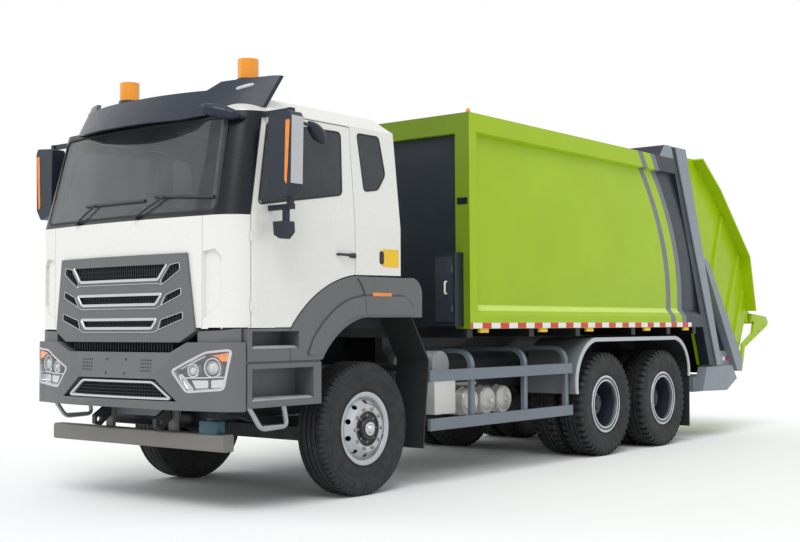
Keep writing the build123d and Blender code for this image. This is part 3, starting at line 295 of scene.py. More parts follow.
# Seat cloth: a fine twill that dulls to the light
def fabricFinish():
    tree, shader = startFinish("trimFabric")
    weave = put(tree, "TexWave", Scale=240, Distortion=1.5, Detail=2)
    feed(tree, weave, {"Vector": put(tree, "TexCoord").outputs["Object"]})
    thread = weave.outputs["Fac"]
    feed(tree, shader, {"Base Color": blendColour(tree, thread, linear(58, 60, 64), linear(84, 86, 90)),
        "Roughness": spread(tree, noiseOn(tree, 30, 4), 0.78, 0.92), "Sheen Weight": 0.2})
    bumpFrom(tree, shader, thread, 0.25, 0.002)


# Clear lamp cover: thin, with a faint moulded ripple
def coverFinish():
    tree, shader = startFinish("coverClear")
    ripple = noiseOn(tree, 5, 3)
    pale = blendColour(tree, spread(tree, ripple, 0, 1), linear(238, 240, 242), linear(250, 250, 250))
    feed(tree, shader, {"Base Color": pale, "Roughness": spread(tree, ripple, 0.02, 0.05), "Alpha": 0.07})


tyreFinish()
glassFinish()
lensFinish("lampLens", (188, 192, 196), (226, 229, 232), 0.15)
lensFinish("amberLens", (236, 120, 24), (250, 158, 50), 0.1)
lensFinish("redLens", (188, 34, 26), (212, 52, 40), 0.1)
fabricFinish()
coverFinish()


# A value that changes with place, for paint that does so
class Field:
    def __init__(self, tree, socket):
        self.tree = tree
        self.socket = socket

    def math(self, kind, other=0):
        node = put(self.tree, "Math", operation=kind)
        feed(self.tree, node, {0: self.socket, 1: getattr(other, "socket", other)})
        return Field(self.tree, node.outputs[0])

    def __abs__(self):
        return self.math("ABSOLUTE")

    def __add__(self, other):
        return self.math("ADD", other)

    def __sub__(self, other):
        return self.math("SUBTRACT", other)

    def __mul__(self, other):
        return self.math("MULTIPLY", other)

    def __gt__(self, other):
        return self.math("GREATER_THAN", other)

    def __lt__(self, other):
        return self.math("LESS_THAN", other)

    def within(self, low, high):
        return (self > low) * (self < high)


def placeOf(tree):
    split = put(tree, "SeparateXYZ")
    feed(tree, split, {0: put(tree, "TexCoord").outputs["Object"]})
    return [Field(tree, axis) for axis in split.outputs]


# Stripes on the body's sides: grey, lime, grey, then slate to the rear, behind a bent leading edge; the fold
# facing up is painted paler as a painted highlight
stripes = {"edge": (-1.705, -0.4645, 0.18), "fold": (1.546, 1.600),
           "bands": ((0, 0.12, "stripePaint"), (0.297, 0.415, "stripePaint"), (0.415, 9, "slatePaint"))}


def stripeZones(x, y, z):
    start, slope, bend = stripes["edge"]
    behind = z * (z * bend + slope) + start - x
    # painted highlight: the upward-facing fold is painted a paler lime
    zones = [(z.within(*stripes["fold"]), "limePale")]
    return zones + [(behind.within(low, high), paint) for low, high, paint in stripes["bands"]]


# Body's front wall: painted shade darkens the recess and the cabinet, and a darker lime on the rim is
# painted shade too
frontWall = {"face": axleX - 1.38, "skin": (0.0008, 0.002), "half": 1.0895, "low": 1.3, "high": 3.1995}


def frontWallZones(x, y, z):
    half, face = frontWall["half"], frontWall["face"]
    back, ahead = frontWall["skin"]
    recess = y.within(-half, half) * z.within(frontWall["low"], frontWall["high"])
    rim = x.within(face - back, face + ahead)
    # painted shade: the recess and the cabinet take the dark recess colour, the rim a shaded lime
    return [(rim, "limeShade"), (recess.math("MAXIMUM", x > face + ahead), "recessPaint")]


# Other nodes: where the second paint starts
edges = {"postSide": 1.2355, "guardSide": 1.2305, "guardFront": axleX - 3.0,
         "sheet": (axleX - 3.72, axleX - 3.2), "sheetFoot": 0.65, "floorSide": 1.19, "floorTop": 1.3765,
         "hopperFront": axleX - 6.95, "hopperLip": 1.35, "mirrorLean": 0.02353, "mirrorSide": 1.5001,
         "mirrorFoot": 2.46, "mirrorFront": axleX + 1.322, "tankSide": 0.69, "tankTop": 0.9155}


def postZones(x, y, z):
    return [(abs(y) > edges["postSide"], "postPaint")]


def guardZones(x, y, z):
    sheet = x.within(*edges["sheet"]) * (z > edges["sheetFoot"])
    lip = (abs(y) > edges["guardSide"]) * (x < edges["guardFront"])
    return [(sheet, "guardGrey"), (lip, "edgeSilver")]


def floorZones(x, y, z):
    inside = abs(y) < edges["floorSide"]
    return [(inside.math("MAXIMUM", z < edges["floorTop"]), "chassisPaint")]


# painted shade: the tailgate skins' lower front, below the lip, takes the dark recess colour
def hopperZones(x, y, z):
    return [((x > edges["hopperFront"]) * (z < edges["hopperLip"]), "recessPaint")]


def mirrorZones(x, y, z):
    outer = abs(y) > z * edges["mirrorLean"] + edges["mirrorSide"]
    return [(outer * (z > edges["mirrorFoot"]) * (x < edges["mirrorFront"]), "edgeSilver")]


def tankZones(x, y, z):
    return [((y > edges["tankSide"]) * (z < edges["tankTop"]), "cabWhite")]


zoned = {"bodySidePaint": ("limePaint", stripeZones), "frontWallPaint": ("limePaint", frontWallZones),
         "postFramePaint": ("navyPaint", postZones), "guardFinish": ("flapRubber", guardZones),
         "floorPaint": ("limePaint", floorZones), "hopperPaint": ("limePaint", hopperZones),
         "mirrorPaint": ("slatePlastic", mirrorZones), "tankFinish": ("tankPaint", tankZones)}
for name, (base, zones) in zoned.items():
    tree, shader = startFinish(name)
    colour = coatColour(tree, coats[base])
    for mask, other in zones(*placeOf(tree)):
        colour = blendColour(tree, mask.socket, colour, coatColour(tree, coats[other]))
    finishCoat(tree, shader, coats[base], colour)


# Beacons: orange lens over a black foot
def beaconFinish(footTop):
    tree, shader = startFinish("beaconLamp")
    x, y, z = placeOf(tree)
    flute = noiseOn(tree, 9, 2, 0.4, (14, 14, 1))
    glow = blendColour(tree, spread(tree, flute, 0, 1), linear(242, 148, 16), linear(248, 162, 28))
    lens = z > footTop
    feed(tree, shader, {"Base Color": blendColour(tree, lens.socket, linear(32, 33, 36), glow),
        "Roughness": spread(tree, noiseOn(tree, 20, 4), 0.18, 0.34), "Coat Weight": 0.3})
    bumpFrom(tree, shader, flute, 0.1, 0.004)


# Rear wheels: bright lip, with painted shade darkening the dish towards its bottom and in the groove between
# the lip's rings
dish = {"axles": (axleX - 3.95, axleX - 5.30), "z": 0.555, "groove": (0.2625, 0.2835), "face": 1.2,
        "depth": (1.17, 1.205)}


def dishFinish():
    tree, shader = startFinish("dishSilver")
    x, y, z = placeOf(tree)
    out = abs(y)
    level = z - dish["z"]
    first, second = (abs(x - axle) for axle in dish["axles"])
    along = first.math("MINIMUM", second)
    radius = (along * along + level * level).math("SQRT")
    groove = radius.within(*dish["groove"]) * (out > dish["face"])
    # painted shade: the deeper into the dish, the darker the silver
    depth = spread(tree, out.socket, 0, 1, *dish["depth"])
    tone = blendColour(tree, depth, linear(84, 93, 110), linear(206, 209, 212))
    # painted shade in the groove between the two bright rings
    tone = blendColour(tree, groove.socket, tone, linear(60, 68, 84))
    stain = spread(tree, noiseOn(tree, 6, 6, 0.65), 0.86, 1)
    feed(tree, shader, {"Base Color": blendColour(tree, stain, linear(40, 44, 52), tone),
        "Roughness": spread(tree, noiseOn(tree, 12, 5), 0.28, 0.44), "Metallic": 0.75})


# Reflecting tape: red and white lengths along the body rail
def tapeFinish(length):
    tree, shader = startFinish("railTape")
    x, y, z = placeOf(tree)
    red = (x + 20).math("DIVIDE", length).math("FRACT") > 0.5
    tone = blendColour(tree, red.socket, linear(232, 232, 228), linear(206, 44, 30))
    feed(tree, shader, {"Base Color": tone, "Roughness": spread(tree, noiseOn(tree, 90, 3), 0.24, 0.4)})
    bumpFrom(tree, shader, noiseOn(tree, 700, 1), 0.2, 0.001)


beaconFinish(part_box("beacons")[1][2] - 0.16)
dishFinish()
tapeFinish(0.3)
print("special finishes made:", len(finish))


# Every CAD node takes the finish of its record slot; ten take paint that changes with place
def slotLook(slot):
    first, second = slot.split("_")
    return first + second.title()


def paintNode(name, look):
    nodes[name].data.materials.clear()
    nodes[name].data.materials.append(finishOf(look))


ownFinish = {"body_sides": "bodySidePaint", "body_front": "frontWallPaint", "rear_frame": "postFramePaint",
             "mudguards": "guardFinish", "chassis_tanks": "tankFinish", "beacons": "beaconLamp",
             "body_floor": "floorPaint", "tailgate_skins": "hopperPaint",
             "door_left_mirror": "mirrorPaint", "door_right_mirror": "mirrorPaint"}
for entry in frame["record"]["subparts"]:
    paintNode(entry["node"], ownFinish.get(entry["node"], slotLook(entry["material_slot"])))
print("nodes finished")


# Mesh helpers: every piece is drawn in place, in the shared frame
def at(station, y, z):
    return Vector((axleX + station, y, z))


def alongSide(points, side):
    return [at(station, side * y, z) for station, y, z in points]


def sided(points, side):
    return [(side * p[0], p[1]) for p in points]


def oblong(start, end, low, high):
    return [(start, low), (end, low), (end, high), (start, high)]


def drawn(bm, name):
    bmesh.ops.recalc_face_normals(bm, faces=bm.faces)
    mesh = bpy.data.meshes.new(name)
    bm.to_mesh(mesh)
    bm.free()
    piece = bpy.data.objects.new(name, mesh)
    bpy.context.collection.objects.link(piece)
    return piece


def baked(piece):
    graph = bpy.context.evaluated_depsgraph_get()
    mesh = bpy.data.meshes.new_from_object(piece.evaluated_get(graph))
    piece.modifiers.clear()
    piece.data = mesh
    return mesh


def smoothOut(mesh, angle):
    mesh.polygons.foreach_set("use_smooth", [True] * len(mesh.polygons))
    mesh.set_sharp_from_angle(angle=math.radians(angle))


def newPiece(bm, name, body, slot, look=None, smooth=38):
    bmesh.ops.remove_doubles(bm, verts=bm.verts, dist=1e-6)
    piece = drawn(bm, name)
    smoothOut(piece.data, smooth)
    piece.data.materials.append(finishOf(look or slotLook(slot)))
    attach(piece, body)
    return piece


def addSlab(bm, low, high, edge=0.004):
    size = [abs(h - l) for l, h in zip(low, high)]
    middle = [(l + h) / 2 for l, h in zip(low, high)]
    made = bmesh.ops.create_cube(bm, size=1, matrix=Matrix.Translation(middle) @ Matrix.Diagonal((*size, 1)))
    around = list(dict.fromkeys(e for v in made["verts"] for e in v.link_edges))
    reach = min(edge, min(size) * 0.3)
    bmesh.ops.bevel(bm, geom=around, offset=reach, segments=2, profile=0.5, affect="EDGES")


def joinRings(bm, rings, closed=False):
    pairs = list(zip(rings, rings[1:]))
    if closed:
        pairs.append((rings[-1], rings[0]))
    for first, second in pairs:
        count = max(len(first), len(second))
        for i in range(count):
            j = (i + 1) % count
            corners = [first[i % len(first)], first[j % len(first)]]
            corners += [second[j % len(second)], second[i % len(second)]]
            bm.faces.new(list(dict.fromkeys(corners)))


def headings(points, i, closed):
    count = len(points)
    ways = []
    if i > 0 or closed:
        ways.append((points[i] - points[i - 1]).normalized())
    if i < count - 1 or closed:
        ways.append((points[(i + 1) % count] - points[i]).normalized())
    return ways


def circle(steps):
    turns = [2 * math.pi * k / steps for k in range(steps)]
    return [(math.cos(t), math.sin(t)) for t in turns]


def addTube(bm, path, radius, sides=12):
    points = [Vector(p) for p in path]
    rings = []
    side = None
    for i, point in enumerate(points):
        heading = sum(headings(points, i, False), Vector((0, 0, 0))).normalized()
        side = heading.orthogonal() if side is None else side - heading * side.dot(heading)
        side.normalize()
        lift = heading.cross(side)
        reach = radius[i] if isinstance(radius, list) else radius
        rings.append([bm.verts.new(point + (side * c + lift * s) * reach) for c, s in circle(sides)])
    joinRings(bm, rings)
    bm.faces.new(rings[0])
    bm.faces.new(rings[-1])


def addLathe(bm, profile, centre, side=1, steps=64, closed=True):
    rings = []
    for radius, along in profile:
        place = Vector(centre) + Vector((0, along * side, 0))
        if radius < 1e-6:
            rings.append([bm.verts.new(place)])
        else:
            rings.append([bm.verts.new(place + Vector((c, 0, s)) * radius) for c, s in circle(steps)])
    joinRings(bm, rings, closed)


def rounded(points, radius, steps=5, closed=True):
    points = [Vector(p) for p in points]
    count = len(points)
    out = []
    for i, point in enumerate(points):
        if not closed and i in (0, count - 1):
            out.append(point)
            continue
        before, after = points[i - 1] - point, points[(i + 1) % count] - point
        start = point + before.normalized() * min(radius, before.length * 0.48)
        end = point + after.normalized() * min(radius, after.length * 0.48)
        for k in range(steps + 1):
            t = k / steps
            out.append(start * (1 - t) ** 2 + point * 2 * t * (1 - t) + end * t * t)
    return out


def dense(points, step=0.08, closed=True):
    points = [Vector(p) for p in points]
    ends = points[1:] + points[:1] if closed else points[1:]
    out = []
    for first, second in zip(points, ends):
        parts = max(1, math.ceil((second - first).length / step))
        out += [first.lerp(second, k / parts) for k in range(parts)]
    return out if closed else out + [points[-1]]


def addTrim(bm, outline, place, width, low, high, closed=True):
    points = [Vector(p) for p in outline]
    shoulder = high - 0.25 * (high - low)
    rings = []
    for i, point in enumerate(points):
        square = [Vector((-d[1], d[0])) for d in headings(points, i, closed)]
        lean = sum(square, Vector((0, 0))).normalized()
        reach = width / 2 / max(0.4, lean.dot(square[0]))
        spots = ((reach, low), (reach, shoulder), (reach * 0.6, high), (-reach * 0.6, high),
                 (-reach, shoulder), (-reach, low))
        rings.append([bm.verts.new(place(point + lean * s, h)) for s, h in spots])
    joinRings(bm, rings, closed)
    if not closed:
        bm.faces.new(rings[0])
        bm.faces.new(rings[-1])


def addPanel(bm, outline, place, low, high):
    rings = [[bm.verts.new(place(Vector(p), h)) for p in outline] for h in (low, high)]
    joinRings(bm, rings)
    for ring in rings:
        bm.faces.new(ring)


def trimPiece(name, body, slot, look, *trim):
    bm = bmesh.new()
    addTrim(bm, *trim)
    newPiece(bm, name, body, slot, look)


def panelPiece(name, body, slot, look, *panel):
    bm = bmesh.new()
    addPanel(bm, *panel)
    newPiece(bm, name, body, slot, look)


# Surfaces that trim follows
def bow(radius, y):
    return radius - math.sqrt(radius * radius - y * y)


def noseX(y, z=0):
    return 1.672 - bow(7.259, y)


def bumperX(y, z):
    reach = abs(y)
    if reach <= 0.85:
        plan = 1.700 - bow(6.051, y)
    elif reach <= 1.06:
        plan = 1.640 - (reach - 0.85) / 0.21 * 0.05
    else:
        plan = 1.4042 + math.sqrt(max(0, 0.1861 ** 2 - (reach - 1.0709) ** 2))
    side = 1.690 - (z - 1.0) / 0.29 * 0.04
    if z < 0.85:
        side = 1.680 + (z - 0.78) / 0.07 * 0.02
    elif z < 1.0:
        side = 1.700 - (z - 0.85) / 0.15 * 0.01
    return min(plan, side)


def screenX(y, z):
    return 1.650 - 0.19 * (z - 2.24) / 0.82 - bow(7.597, y)


def doorY(z):
    return 1.240 - 0.065 * max(0, z - 2.24) / 0.82


def onFront(depth):
    return lambda point, lift: at(depth(*point) + lift, *point)


onNose = onFront(noseX)
onBumper = onFront(bumperX)
onScreen = onFront(screenX)


def onSide(side):
    return lambda point, lift: at(point[0], side * (doorY(point[1]) + lift), point[1])


def onFlank(side, y):
    return lambda point, lift: at(point[0], side * (y + lift), point[1])


def onWall(station):
    return onFront(lambda y, z: station)


# Repeats: one node tree sets a shape out in a ring, another in a row
def repeatTree(name, wanted, lay):
    tree = bpy.data.node_groups.new(name, "GeometryNodeTree")
    tree.interface.new_socket("Shape", in_out="INPUT", socket_type="NodeSocketGeometry")
    for label, kind in wanted:
        tree.interface.new_socket(label, in_out="INPUT", socket_type="NodeSocket" + kind)
    tree.interface.new_socket("Geometry", in_out="OUTPUT", socket_type="NodeSocketGeometry")
    start = tree.nodes.new("NodeGroupInput").outputs
    points, turn = lay(tree, start)
    place = tree.nodes.new("GeometryNodeInstanceOnPoints")
    solid = tree.nodes.new("GeometryNodeRealizeInstances")
    shift = tree.nodes.new("GeometryNodeTransform")
    paint = tree.nodes.new("GeometryNodeSetMaterial")
    end = tree.nodes.new("NodeGroupOutput")
    feed(tree, place, {"Points": points, "Instance": start["Shape"]})
    if turn is not None:
        feed(tree, place, {"Rotation": turn})
    feed(tree, solid, {0: place.outputs[0]})
    feed(tree, shift, {0: solid.outputs[0], "Translation": start["Centre"]})
    feed(tree, paint, {"Geometry": shift.outputs[0], "Material": start["Finish"]})
    feed(tree, end, {0: paint.outputs[0]})
    return tree


def layRing(tree, start):
    ring = tree.nodes.new("GeometryNodeMeshCircle")
    stand = tree.nodes.new("GeometryNodeTransform")
    stand.inputs["Rotation"].default_value = (math.pi / 2, 0, 0)
    order = tree.nodes.new("GeometryNodeInputIndex")
    share = put(tree, "Math", operation="DIVIDE")
    times = put(tree, "Math", operation="MULTIPLY")
    spin = put(tree, "CombineXYZ")
    turn = tree.nodes.new("FunctionNodeEulerToRotation")
    feed(tree, ring, {"Vertices": start["Count"], "Radius": start["Radius"]})
    feed(tree, stand, {0: ring.outputs[0]})
    feed(tree, share, {0: -2 * math.pi, 1: start["Count"]})
    feed(tree, times, {0: share.outputs[0], 1: order.outputs[0]})
    feed(tree, spin, {"Y": times.outputs[0]})
    feed(tree, turn, {0: spin.outputs[0]})
    return stand.outputs[0], turn.outputs[0]


def layRow(tree, start):
    row = tree.nodes.new("GeometryNodeMeshLine")
    feed(tree, row, {"Count": start["Count"], "Offset": start["Step"]})
    return row.outputs[0], None


shared = (("Centre", "Vector"), ("Finish", "Material"))
ringTree = repeatTree("ringOfShapes", (("Count", "Int"), ("Radius", "Float"), *shared), layRing)
rowTree = repeatTree("rowOfShapes", (("Count", "Int"), ("Step", "Vector"), *shared), layRow)


def repeatPiece(bm, name, tree, values, body, slot, look=None, smooth=38):
    piece = drawn(bm, name)
    repeat = piece.modifiers.new("repeat", "NODES")
    repeat.node_group = tree
    values["Finish"] = finishOf(look or slotLook(slot))
    for socket in tree.interface.items_tree:
        if socket.in_out == "INPUT" and socket.name in values:
            repeat[socket.identifier] = values[socket.name]
    smoothOut(baked(piece), smooth)
    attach(piece, body)


# Tyres: ribs, grooves and sidewall rings turned as one section, shoulder blocks set out in a ring
wheels = {"frontY": 1.02, "twinY": (1.085, 0.745), "rearY": 0.915, "z": 0.555, "crown": 0.5549,
          "stations": {"1": -3.95, "2": -5.30}}
sidewall = [(0.262, 0.112), (0.285, 0.1165), (0.299, 0.1185), (0.306, 0.1235), (0.314, 0.1205),
            (0.328, 0.1265), (0.331, 0.1305), (0.337, 0.1310), (0.341, 0.1315), (0.375, 0.1420),
            (0.4185, 0.1490), (0.448, 0.1495), (0.451, 0.1507), (0.457, 0.1507), (0.460, 0.1490),
            (0.484, 0.1470), (0.487, 0.1482), (0.493, 0.1475), (0.496, 0.1445)]
ribbedTread = [(0.5105, 0.1395), (0.525, 0.134), (0.5405, 0.115), (0.5425, 0.096), (0.5545, 0.094),
               (0.5548, 0.0835), (0.541, 0.0815), (0.541, 0.0735), (0.5548, 0.0715), (0.555, 0.0315),
               (0.540, 0.0295), (0.540, 0.0195), (0.555, 0.0175)]
blockTread = [(0.5065, 0.1405), (0.520, 0.133), (0.535, 0.112), (0.5365, 0.060), (0.5545, 0.058),
              (0.5548, 0.0345), (0.538, 0.0325), (0.538, 0.0215), (0.555, 0.0195)]
ribBlock = {"count": 72, "half": 0.0195,
            "outline": [(-0.046, 0.1375), (-0.030, 0.1365), (-0.012, 0.1305), (0, 0.113), (0, 0.0985),
                        (-0.018, 0.0985), (-0.045, 0.118)]}
lugBlock = {"count": 44, "half": 0.0215,
            "outline": [(-0.062, 0.1385), (-0.045, 0.1430), (-0.016, 0.1375), (0, 0.116), (0, 0.064),
                        (-0.022, 0.064), (-0.055, 0.10)]}


def addBlocks(bm, spec, offset):
    for way in (1, -1):
        rings = []
        for z in (-spec["half"], spec["half"]):
            rings.append([bm.verts.new((x, offset + way * y, z)) for x, y in spec["outline"]])
        joinRings(bm, rings)
        for ring in rings:
            bm.faces.new(ring)


def addTyres(node, body, station, side, offsets, tread, block):
    half = sidewall + tread
    section = half + [(r, -a) for r, a in reversed(half)]
    bm = bmesh.new()
    for y in offsets:
        addLathe(bm, section, at(station, side * y, wheels["z"]), 1, 120)
    name = node.replace("_", " ").title().replace(" ", "")
    piece = newPiece(bm, name + "Ribbed", body, "tyre_rubber", smooth=30)
    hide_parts(node)
    bm = bmesh.new()
    for y in offsets:
        addBlocks(bm, block, side * (y - offsets[0]))
    centre = at(station, side * offsets[0], wheels["z"])
    values = {"Count": block["count"], "Radius": wheels["crown"], "Centre": tuple(centre)}
    repeatPiece(bm, body + "Blocks", ringTree, values, body, "tyre_rubber", smooth=30)


# Front rims: dished, ten hand holes, raised ring of nuts, dark hub and bright cap
frontRim = {
    "section": [(0.262, -0.119), (0.262, 0.119), (0.300, 0.121), (0.306, 0.126), (0.304, 0.132),
                (0.290, 0.1335), (0.276, 0.130), (0.264, 0.1255), (0.2575, 0.116), (0.2555, 0.102),
                (0.252, 0.0965), (0.246, 0.098), (0.200, 0.151), (0.193, 0.157), (0.186, 0.160),
                (0.150, 0.160), (0.145, 0.157), (0.143, 0.145), (0.179, 0.145), (0.187, 0.139),
                (0.237, 0.081), (0.244, 0.074), (0.250, 0.071), (0.2535, 0.064), (0.2535, -0.119)],
    "hub": [(0.020, -0.119), (0.141, -0.10), (0.1415, 0.140), (0.139, 0.150), (0.128, 0.153),
            (0.124, 0.146), (0.096, 0.146), (0.092, 0.168), (0.086, 0.175), (0.064, 0.177), (0.060, 0.168),
            (0.020, 0.166)],
    "cap": [(0, 0.160), (0.059, 0.162), (0.060, 0.180), (0.056, 0.188), (0.040, 0.191), (0.036, 0.204),
            (0.026, 0.213), (0.012, 0.217), (0, 0.218)]}
handHoles = {"count": 10, "ring": 0.223, "depth": 0.1245, "lean": (0.755, 0.655), "radius": 0.0235,
             "reach": (-0.03, 0, 0.016)}


def addNuts(name, body, centre, side, count, ring, size, along):
    low, high = along
    bm = bmesh.new()
    washer = [(0, low), (size * 1.35, low), (size * 1.35, low + 0.004)]
    nut = [(size, low + 0.004), (size, high - 0.006), (size * 0.82, high - 0.003)]
    stud = [(size * 0.55, high - 0.003), (size * 0.55, high), (0, high)]
    addLathe(bm, washer + nut + stud, (0, 0, 0), side, 18, False)
    values = {"Count": count, "Radius": ring, "Centre": tuple(centre)}
    repeatPiece(bm, name, ringTree, values, body, "rim_silver", "nutSteel")


def addFrontRim(node, body, side):
    centre = at(0, -wheels["frontY"], wheels["z"])
    bm = bmesh.new()
    addLathe(bm, frontRim["section"], centre, -1, 100)
    piece = newPiece(bm, body + "Rim", body, "rim_silver")
    bm = bmesh.new()
    for k in range(handHoles["count"]):
        turn = 2 * math.pi * (k + 0.5) / handHoles["count"]
        spoke = Vector((math.cos(turn), 0, math.sin(turn)))
        spot = centre + spoke * handHoles["ring"] - Vector((0, handHoles["depth"], 0))
        lean = spoke * handHoles["lean"][0] - Vector((0, handHoles["lean"][1], 0))
        addTube(bm, [spot + lean * r for r in handHoles["reach"]], handHoles["radius"], 24)
    cutter = drawn(bm, "handHoleCutters")
    cut = piece.modifiers.new("handHoles", "BOOLEAN")
    cut.object = cutter
    cut.solver = "EXACT"
    holed = baked(piece)
    bpy.data.objects.remove(cutter)
    if side == 1:
        there, back = Matrix.Translation(at(0, 0, 0)), Matrix.Translation(-at(0, 0, 0))
        holed.transform(there @ Matrix.Rotation(math.pi, 4, "Z") @ back)
    smoothOut(holed, 40)
    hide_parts(node)
    centre = at(0, side * wheels["frontY"], wheels["z"])
    bm = bmesh.new()
    addLathe(bm, frontRim["hub"], centre, side, 64)
    newPiece(bm, body + "Hub", body, "black_plastic", "hubBlack")
    bm = bmesh.new()
    addLathe(bm, frontRim["cap"], centre, side, 48, False)
    newPiece(bm, body + "Cap", body, "rim_silver", "brightTrim")
    addNuts(body + "Nuts", body, centre, side, 10, 0.167, 0.0125, (0.159, 0.181))
    addNuts(body + "HubBolts", body, centre, side, 8, 0.111, 0.0075, (0.145, 0.1565))


# Rear rims: two bright rings on the lip, nuts, dark hub cap with bolts
rearRim = {"rings": [[(0.2465, 0.285), (0.2465, 0.303), (0.254, 0.3065), (0.262, 0.3025), (0.262, 0.285)],
                     [(0.284, 0.296), (0.284, 0.3045), (0.292, 0.309), (0.300, 0.3045), (0.300, 0.296)]],
           "cap": [(0, 0.155), (0.119, 0.155), (0.121, 0.168), (0.112, 0.178), (0.070, 0.181),
                   (0.064, 0.188), (0, 0.190)]}


def addRearRims(node, body, station, side):
    paintNode(node, "dishSilver")
    middle = at(station, side * wheels["rearY"], wheels["z"])
    addNuts(body + "Nuts", body, middle, side, 10, 0.188, 0.0145, (0.0115, 0.052))
    bm = bmesh.new()
    for ring in rearRim["rings"]:
        addLathe(bm, ring, middle, side, 72)
    newPiece(bm, body + "Rings", body, "rim_silver", "brightTrim")
    bm = bmesh.new()
    addLathe(bm, rearRim["cap"], middle, side, 48, False)
    newPiece(bm, body + "HubCap", body, "black_plastic", "hubBlack")
    addNuts(body + "HubBolts", body, middle, side, 8, 0.094, 0.0075, (0.176, 0.189))


bothSides = (("left", 1), ("right", -1))
for label, side in bothSides:
    body = "wheel_front_" + label
    addTyres("tyre_front_" + label, body, 0, side, (wheels["frontY"],), ribbedTread, ribBlock)
    addFrontRim("rim_front_" + label, body, side)
    for axle, station in wheels["stations"].items():
        tail = "rear_" + axle + "_" + label
        addTyres("tyres_" + tail, "wheels_" + tail, station, side, wheels["twinY"], blockTread, lugBlock)
        addRearRims("rims_" + tail, "wheels_" + tail, station, side)
print("wheels ready")

# Grille: bright frames round each pocket, thin bright outlines round the wings, dark mesh behind
grilleRows = [
    {"middle": [(-0.576, 1.885), (-0.479, 1.770), (0.479, 1.770), (0.576, 1.885)], "closed": False,
     "wing": [(0.604, 1.880), (0.702, 1.893), (0.710, 1.838), (0.522, 1.728), (0.508, 1.764)]},
    {"middle": [(-0.519, 1.658), (-0.454, 1.580), (0.454, 1.580), (0.519, 1.658)], "closed": True,
     "wing": [(0.560, 1.650), (0.718, 1.703), (0.722, 1.650), (0.508, 1.568)]},
    {"middle": [(-0.467, 1.466), (-0.412, 1.397), (0.412, 1.397), (0.467, 1.466)], "closed": True,
     "wing": [(0.508, 1.462), (0.738, 1.521), (0.741, 1.467), (0.482, 1.385)]}]


def crossings(shape, axis, level):
    spots = []
    for first, second in zip(shape, shape[1:] + shape[:1]):
        if (first[axis] - level) * (second[axis] - level) < 0:
            rise = second[1 - axis] - first[1 - axis]
            spots.append(first[1 - axis] + rise * (level - first[axis]) / (second[axis] - first[axis]))
    return sorted(spots)


def addMesh(bm, shape):
    left, right = min(p[0] for p in shape), max(p[0] for p in shape)
    bottom, top = min(p[1] for p in shape), max(p[1] for p in shape)
    count = max(3, int((right - left) / 0.026))
    for k in range(1, count):
        y = left + (right - left) * k / count
        cuts = crossings(shape, 0, y)
        if len(cuts) == 2 and cuts[1] - cuts[0] > 0.012:
            x = noseX(y) - 0.031
            addSlab(bm, at(x, y - 0.0035, cuts[0]), at(x + 0.016, y + 0.0035, cuts[1]), 0.001)
    for level in (0.33, 0.67):
        z = bottom + (top - bottom) * level
        cuts = crossings(shape, 1, z)
        if len(cuts) == 2:
            line = dense([(cuts[0] + 0.01, z), (cuts[1] - 0.01, z)], 0.08, False)
            addTrim(bm, line, onNose, 0.006, -0.031, -0.019, False)


trims, mesh = bmesh.new(), bmesh.new()
for row in grilleRows:
    wings = (row["wing"], sided(row["wing"], -1))
    middle = dense(rounded(row["middle"], 0.02, 4, row["closed"]), 0.08, row["closed"])
    addTrim(trims, middle, onNose, 0.022, -0.006, 0.010, row["closed"])
    for wing in wings:
        addTrim(trims, dense(rounded(wing, 0.012, 3)), onNose, 0.007, -0.006, 0.005)
    y, z = row["wing"][3]
    below = row["middle"][1][1] - 0.030
    joined = [(-y, z), (-y + 0.045, below), (y - 0.045, below), (y, z)]
    addTrim(trims, dense(joined, 0.06, False), onNose, 0.007, -0.006, 0.005, False)
    for shape in (row["middle"], *wings):
        addMesh(mesh, shape)
newPiece(trims, "grilleTrims", "cab", "rod_chrome", "brightTrim")
newPiece(mesh, "grilleMesh", "cab", "black_plastic")

# Bumper: fins in the upper slot, framed mesh in the intake, two groups of small holes, four bolts
bumperLook = {"slot": (0.60, 1.218, 1.290), "fins": 36, "bars": 5, "rods": 40,
              "intake": [(-0.43, 0.985), (0.43, 0.985), (0.62, 0.862), (-0.62, 0.862)],
              "dots": {"y": 0.36, "z": 1.070, "step": 0.027, "rows": 4, "columns": 5},
              "bolts": [(-0.115, 1.046), (-0.115, 1.155), (0.115, 1.046), (0.115, 1.155)]}
bm = bmesh.new()
half, low, high = bumperLook["slot"]
for k in range(bumperLook["fins"] + 1):
    y = -half + 2 * half * k / bumperLook["fins"]
    x = bumperX(y, 1.25) - 0.066
    addSlab(bm, at(x, y - 0.004, low), at(x + 0.034, y + 0.004, high), 0.001)
for k in range(bumperLook["bars"]):
    z = 0.868 + 0.026 * k
    reach = 0.61 - (z - 0.862) * 1.5
    addTrim(bm, dense([(-reach, z), (reach, z)], 0.08, False), onBumper, 0.006, -0.060, -0.036, False)
for k in range(bumperLook["rods"] + 1):
    y = -0.58 + 1.16 * k / bumperLook["rods"]
    x = bumperX(y, 0.9)
    top = min(0.98, 0.98 - (abs(y) - 0.43) / 1.55)
    addSlab(bm, at(x - 0.060, y - 0.003, 0.866), at(x - 0.040, y + 0.003, top), 0.001)
newPiece(bm, "bumperMesh", "chassis", "black_plastic")
intakeLine = dense(rounded(bumperLook["intake"], 0.03, 4))
trimPiece("intakeFrame", "chassis", "rod_chrome", "brightTrim", intakeLine, onBumper, 0.026, -0.042, -0.014)
dots = bumperLook["dots"]
face = bumperX(dots["y"], dots["z"])
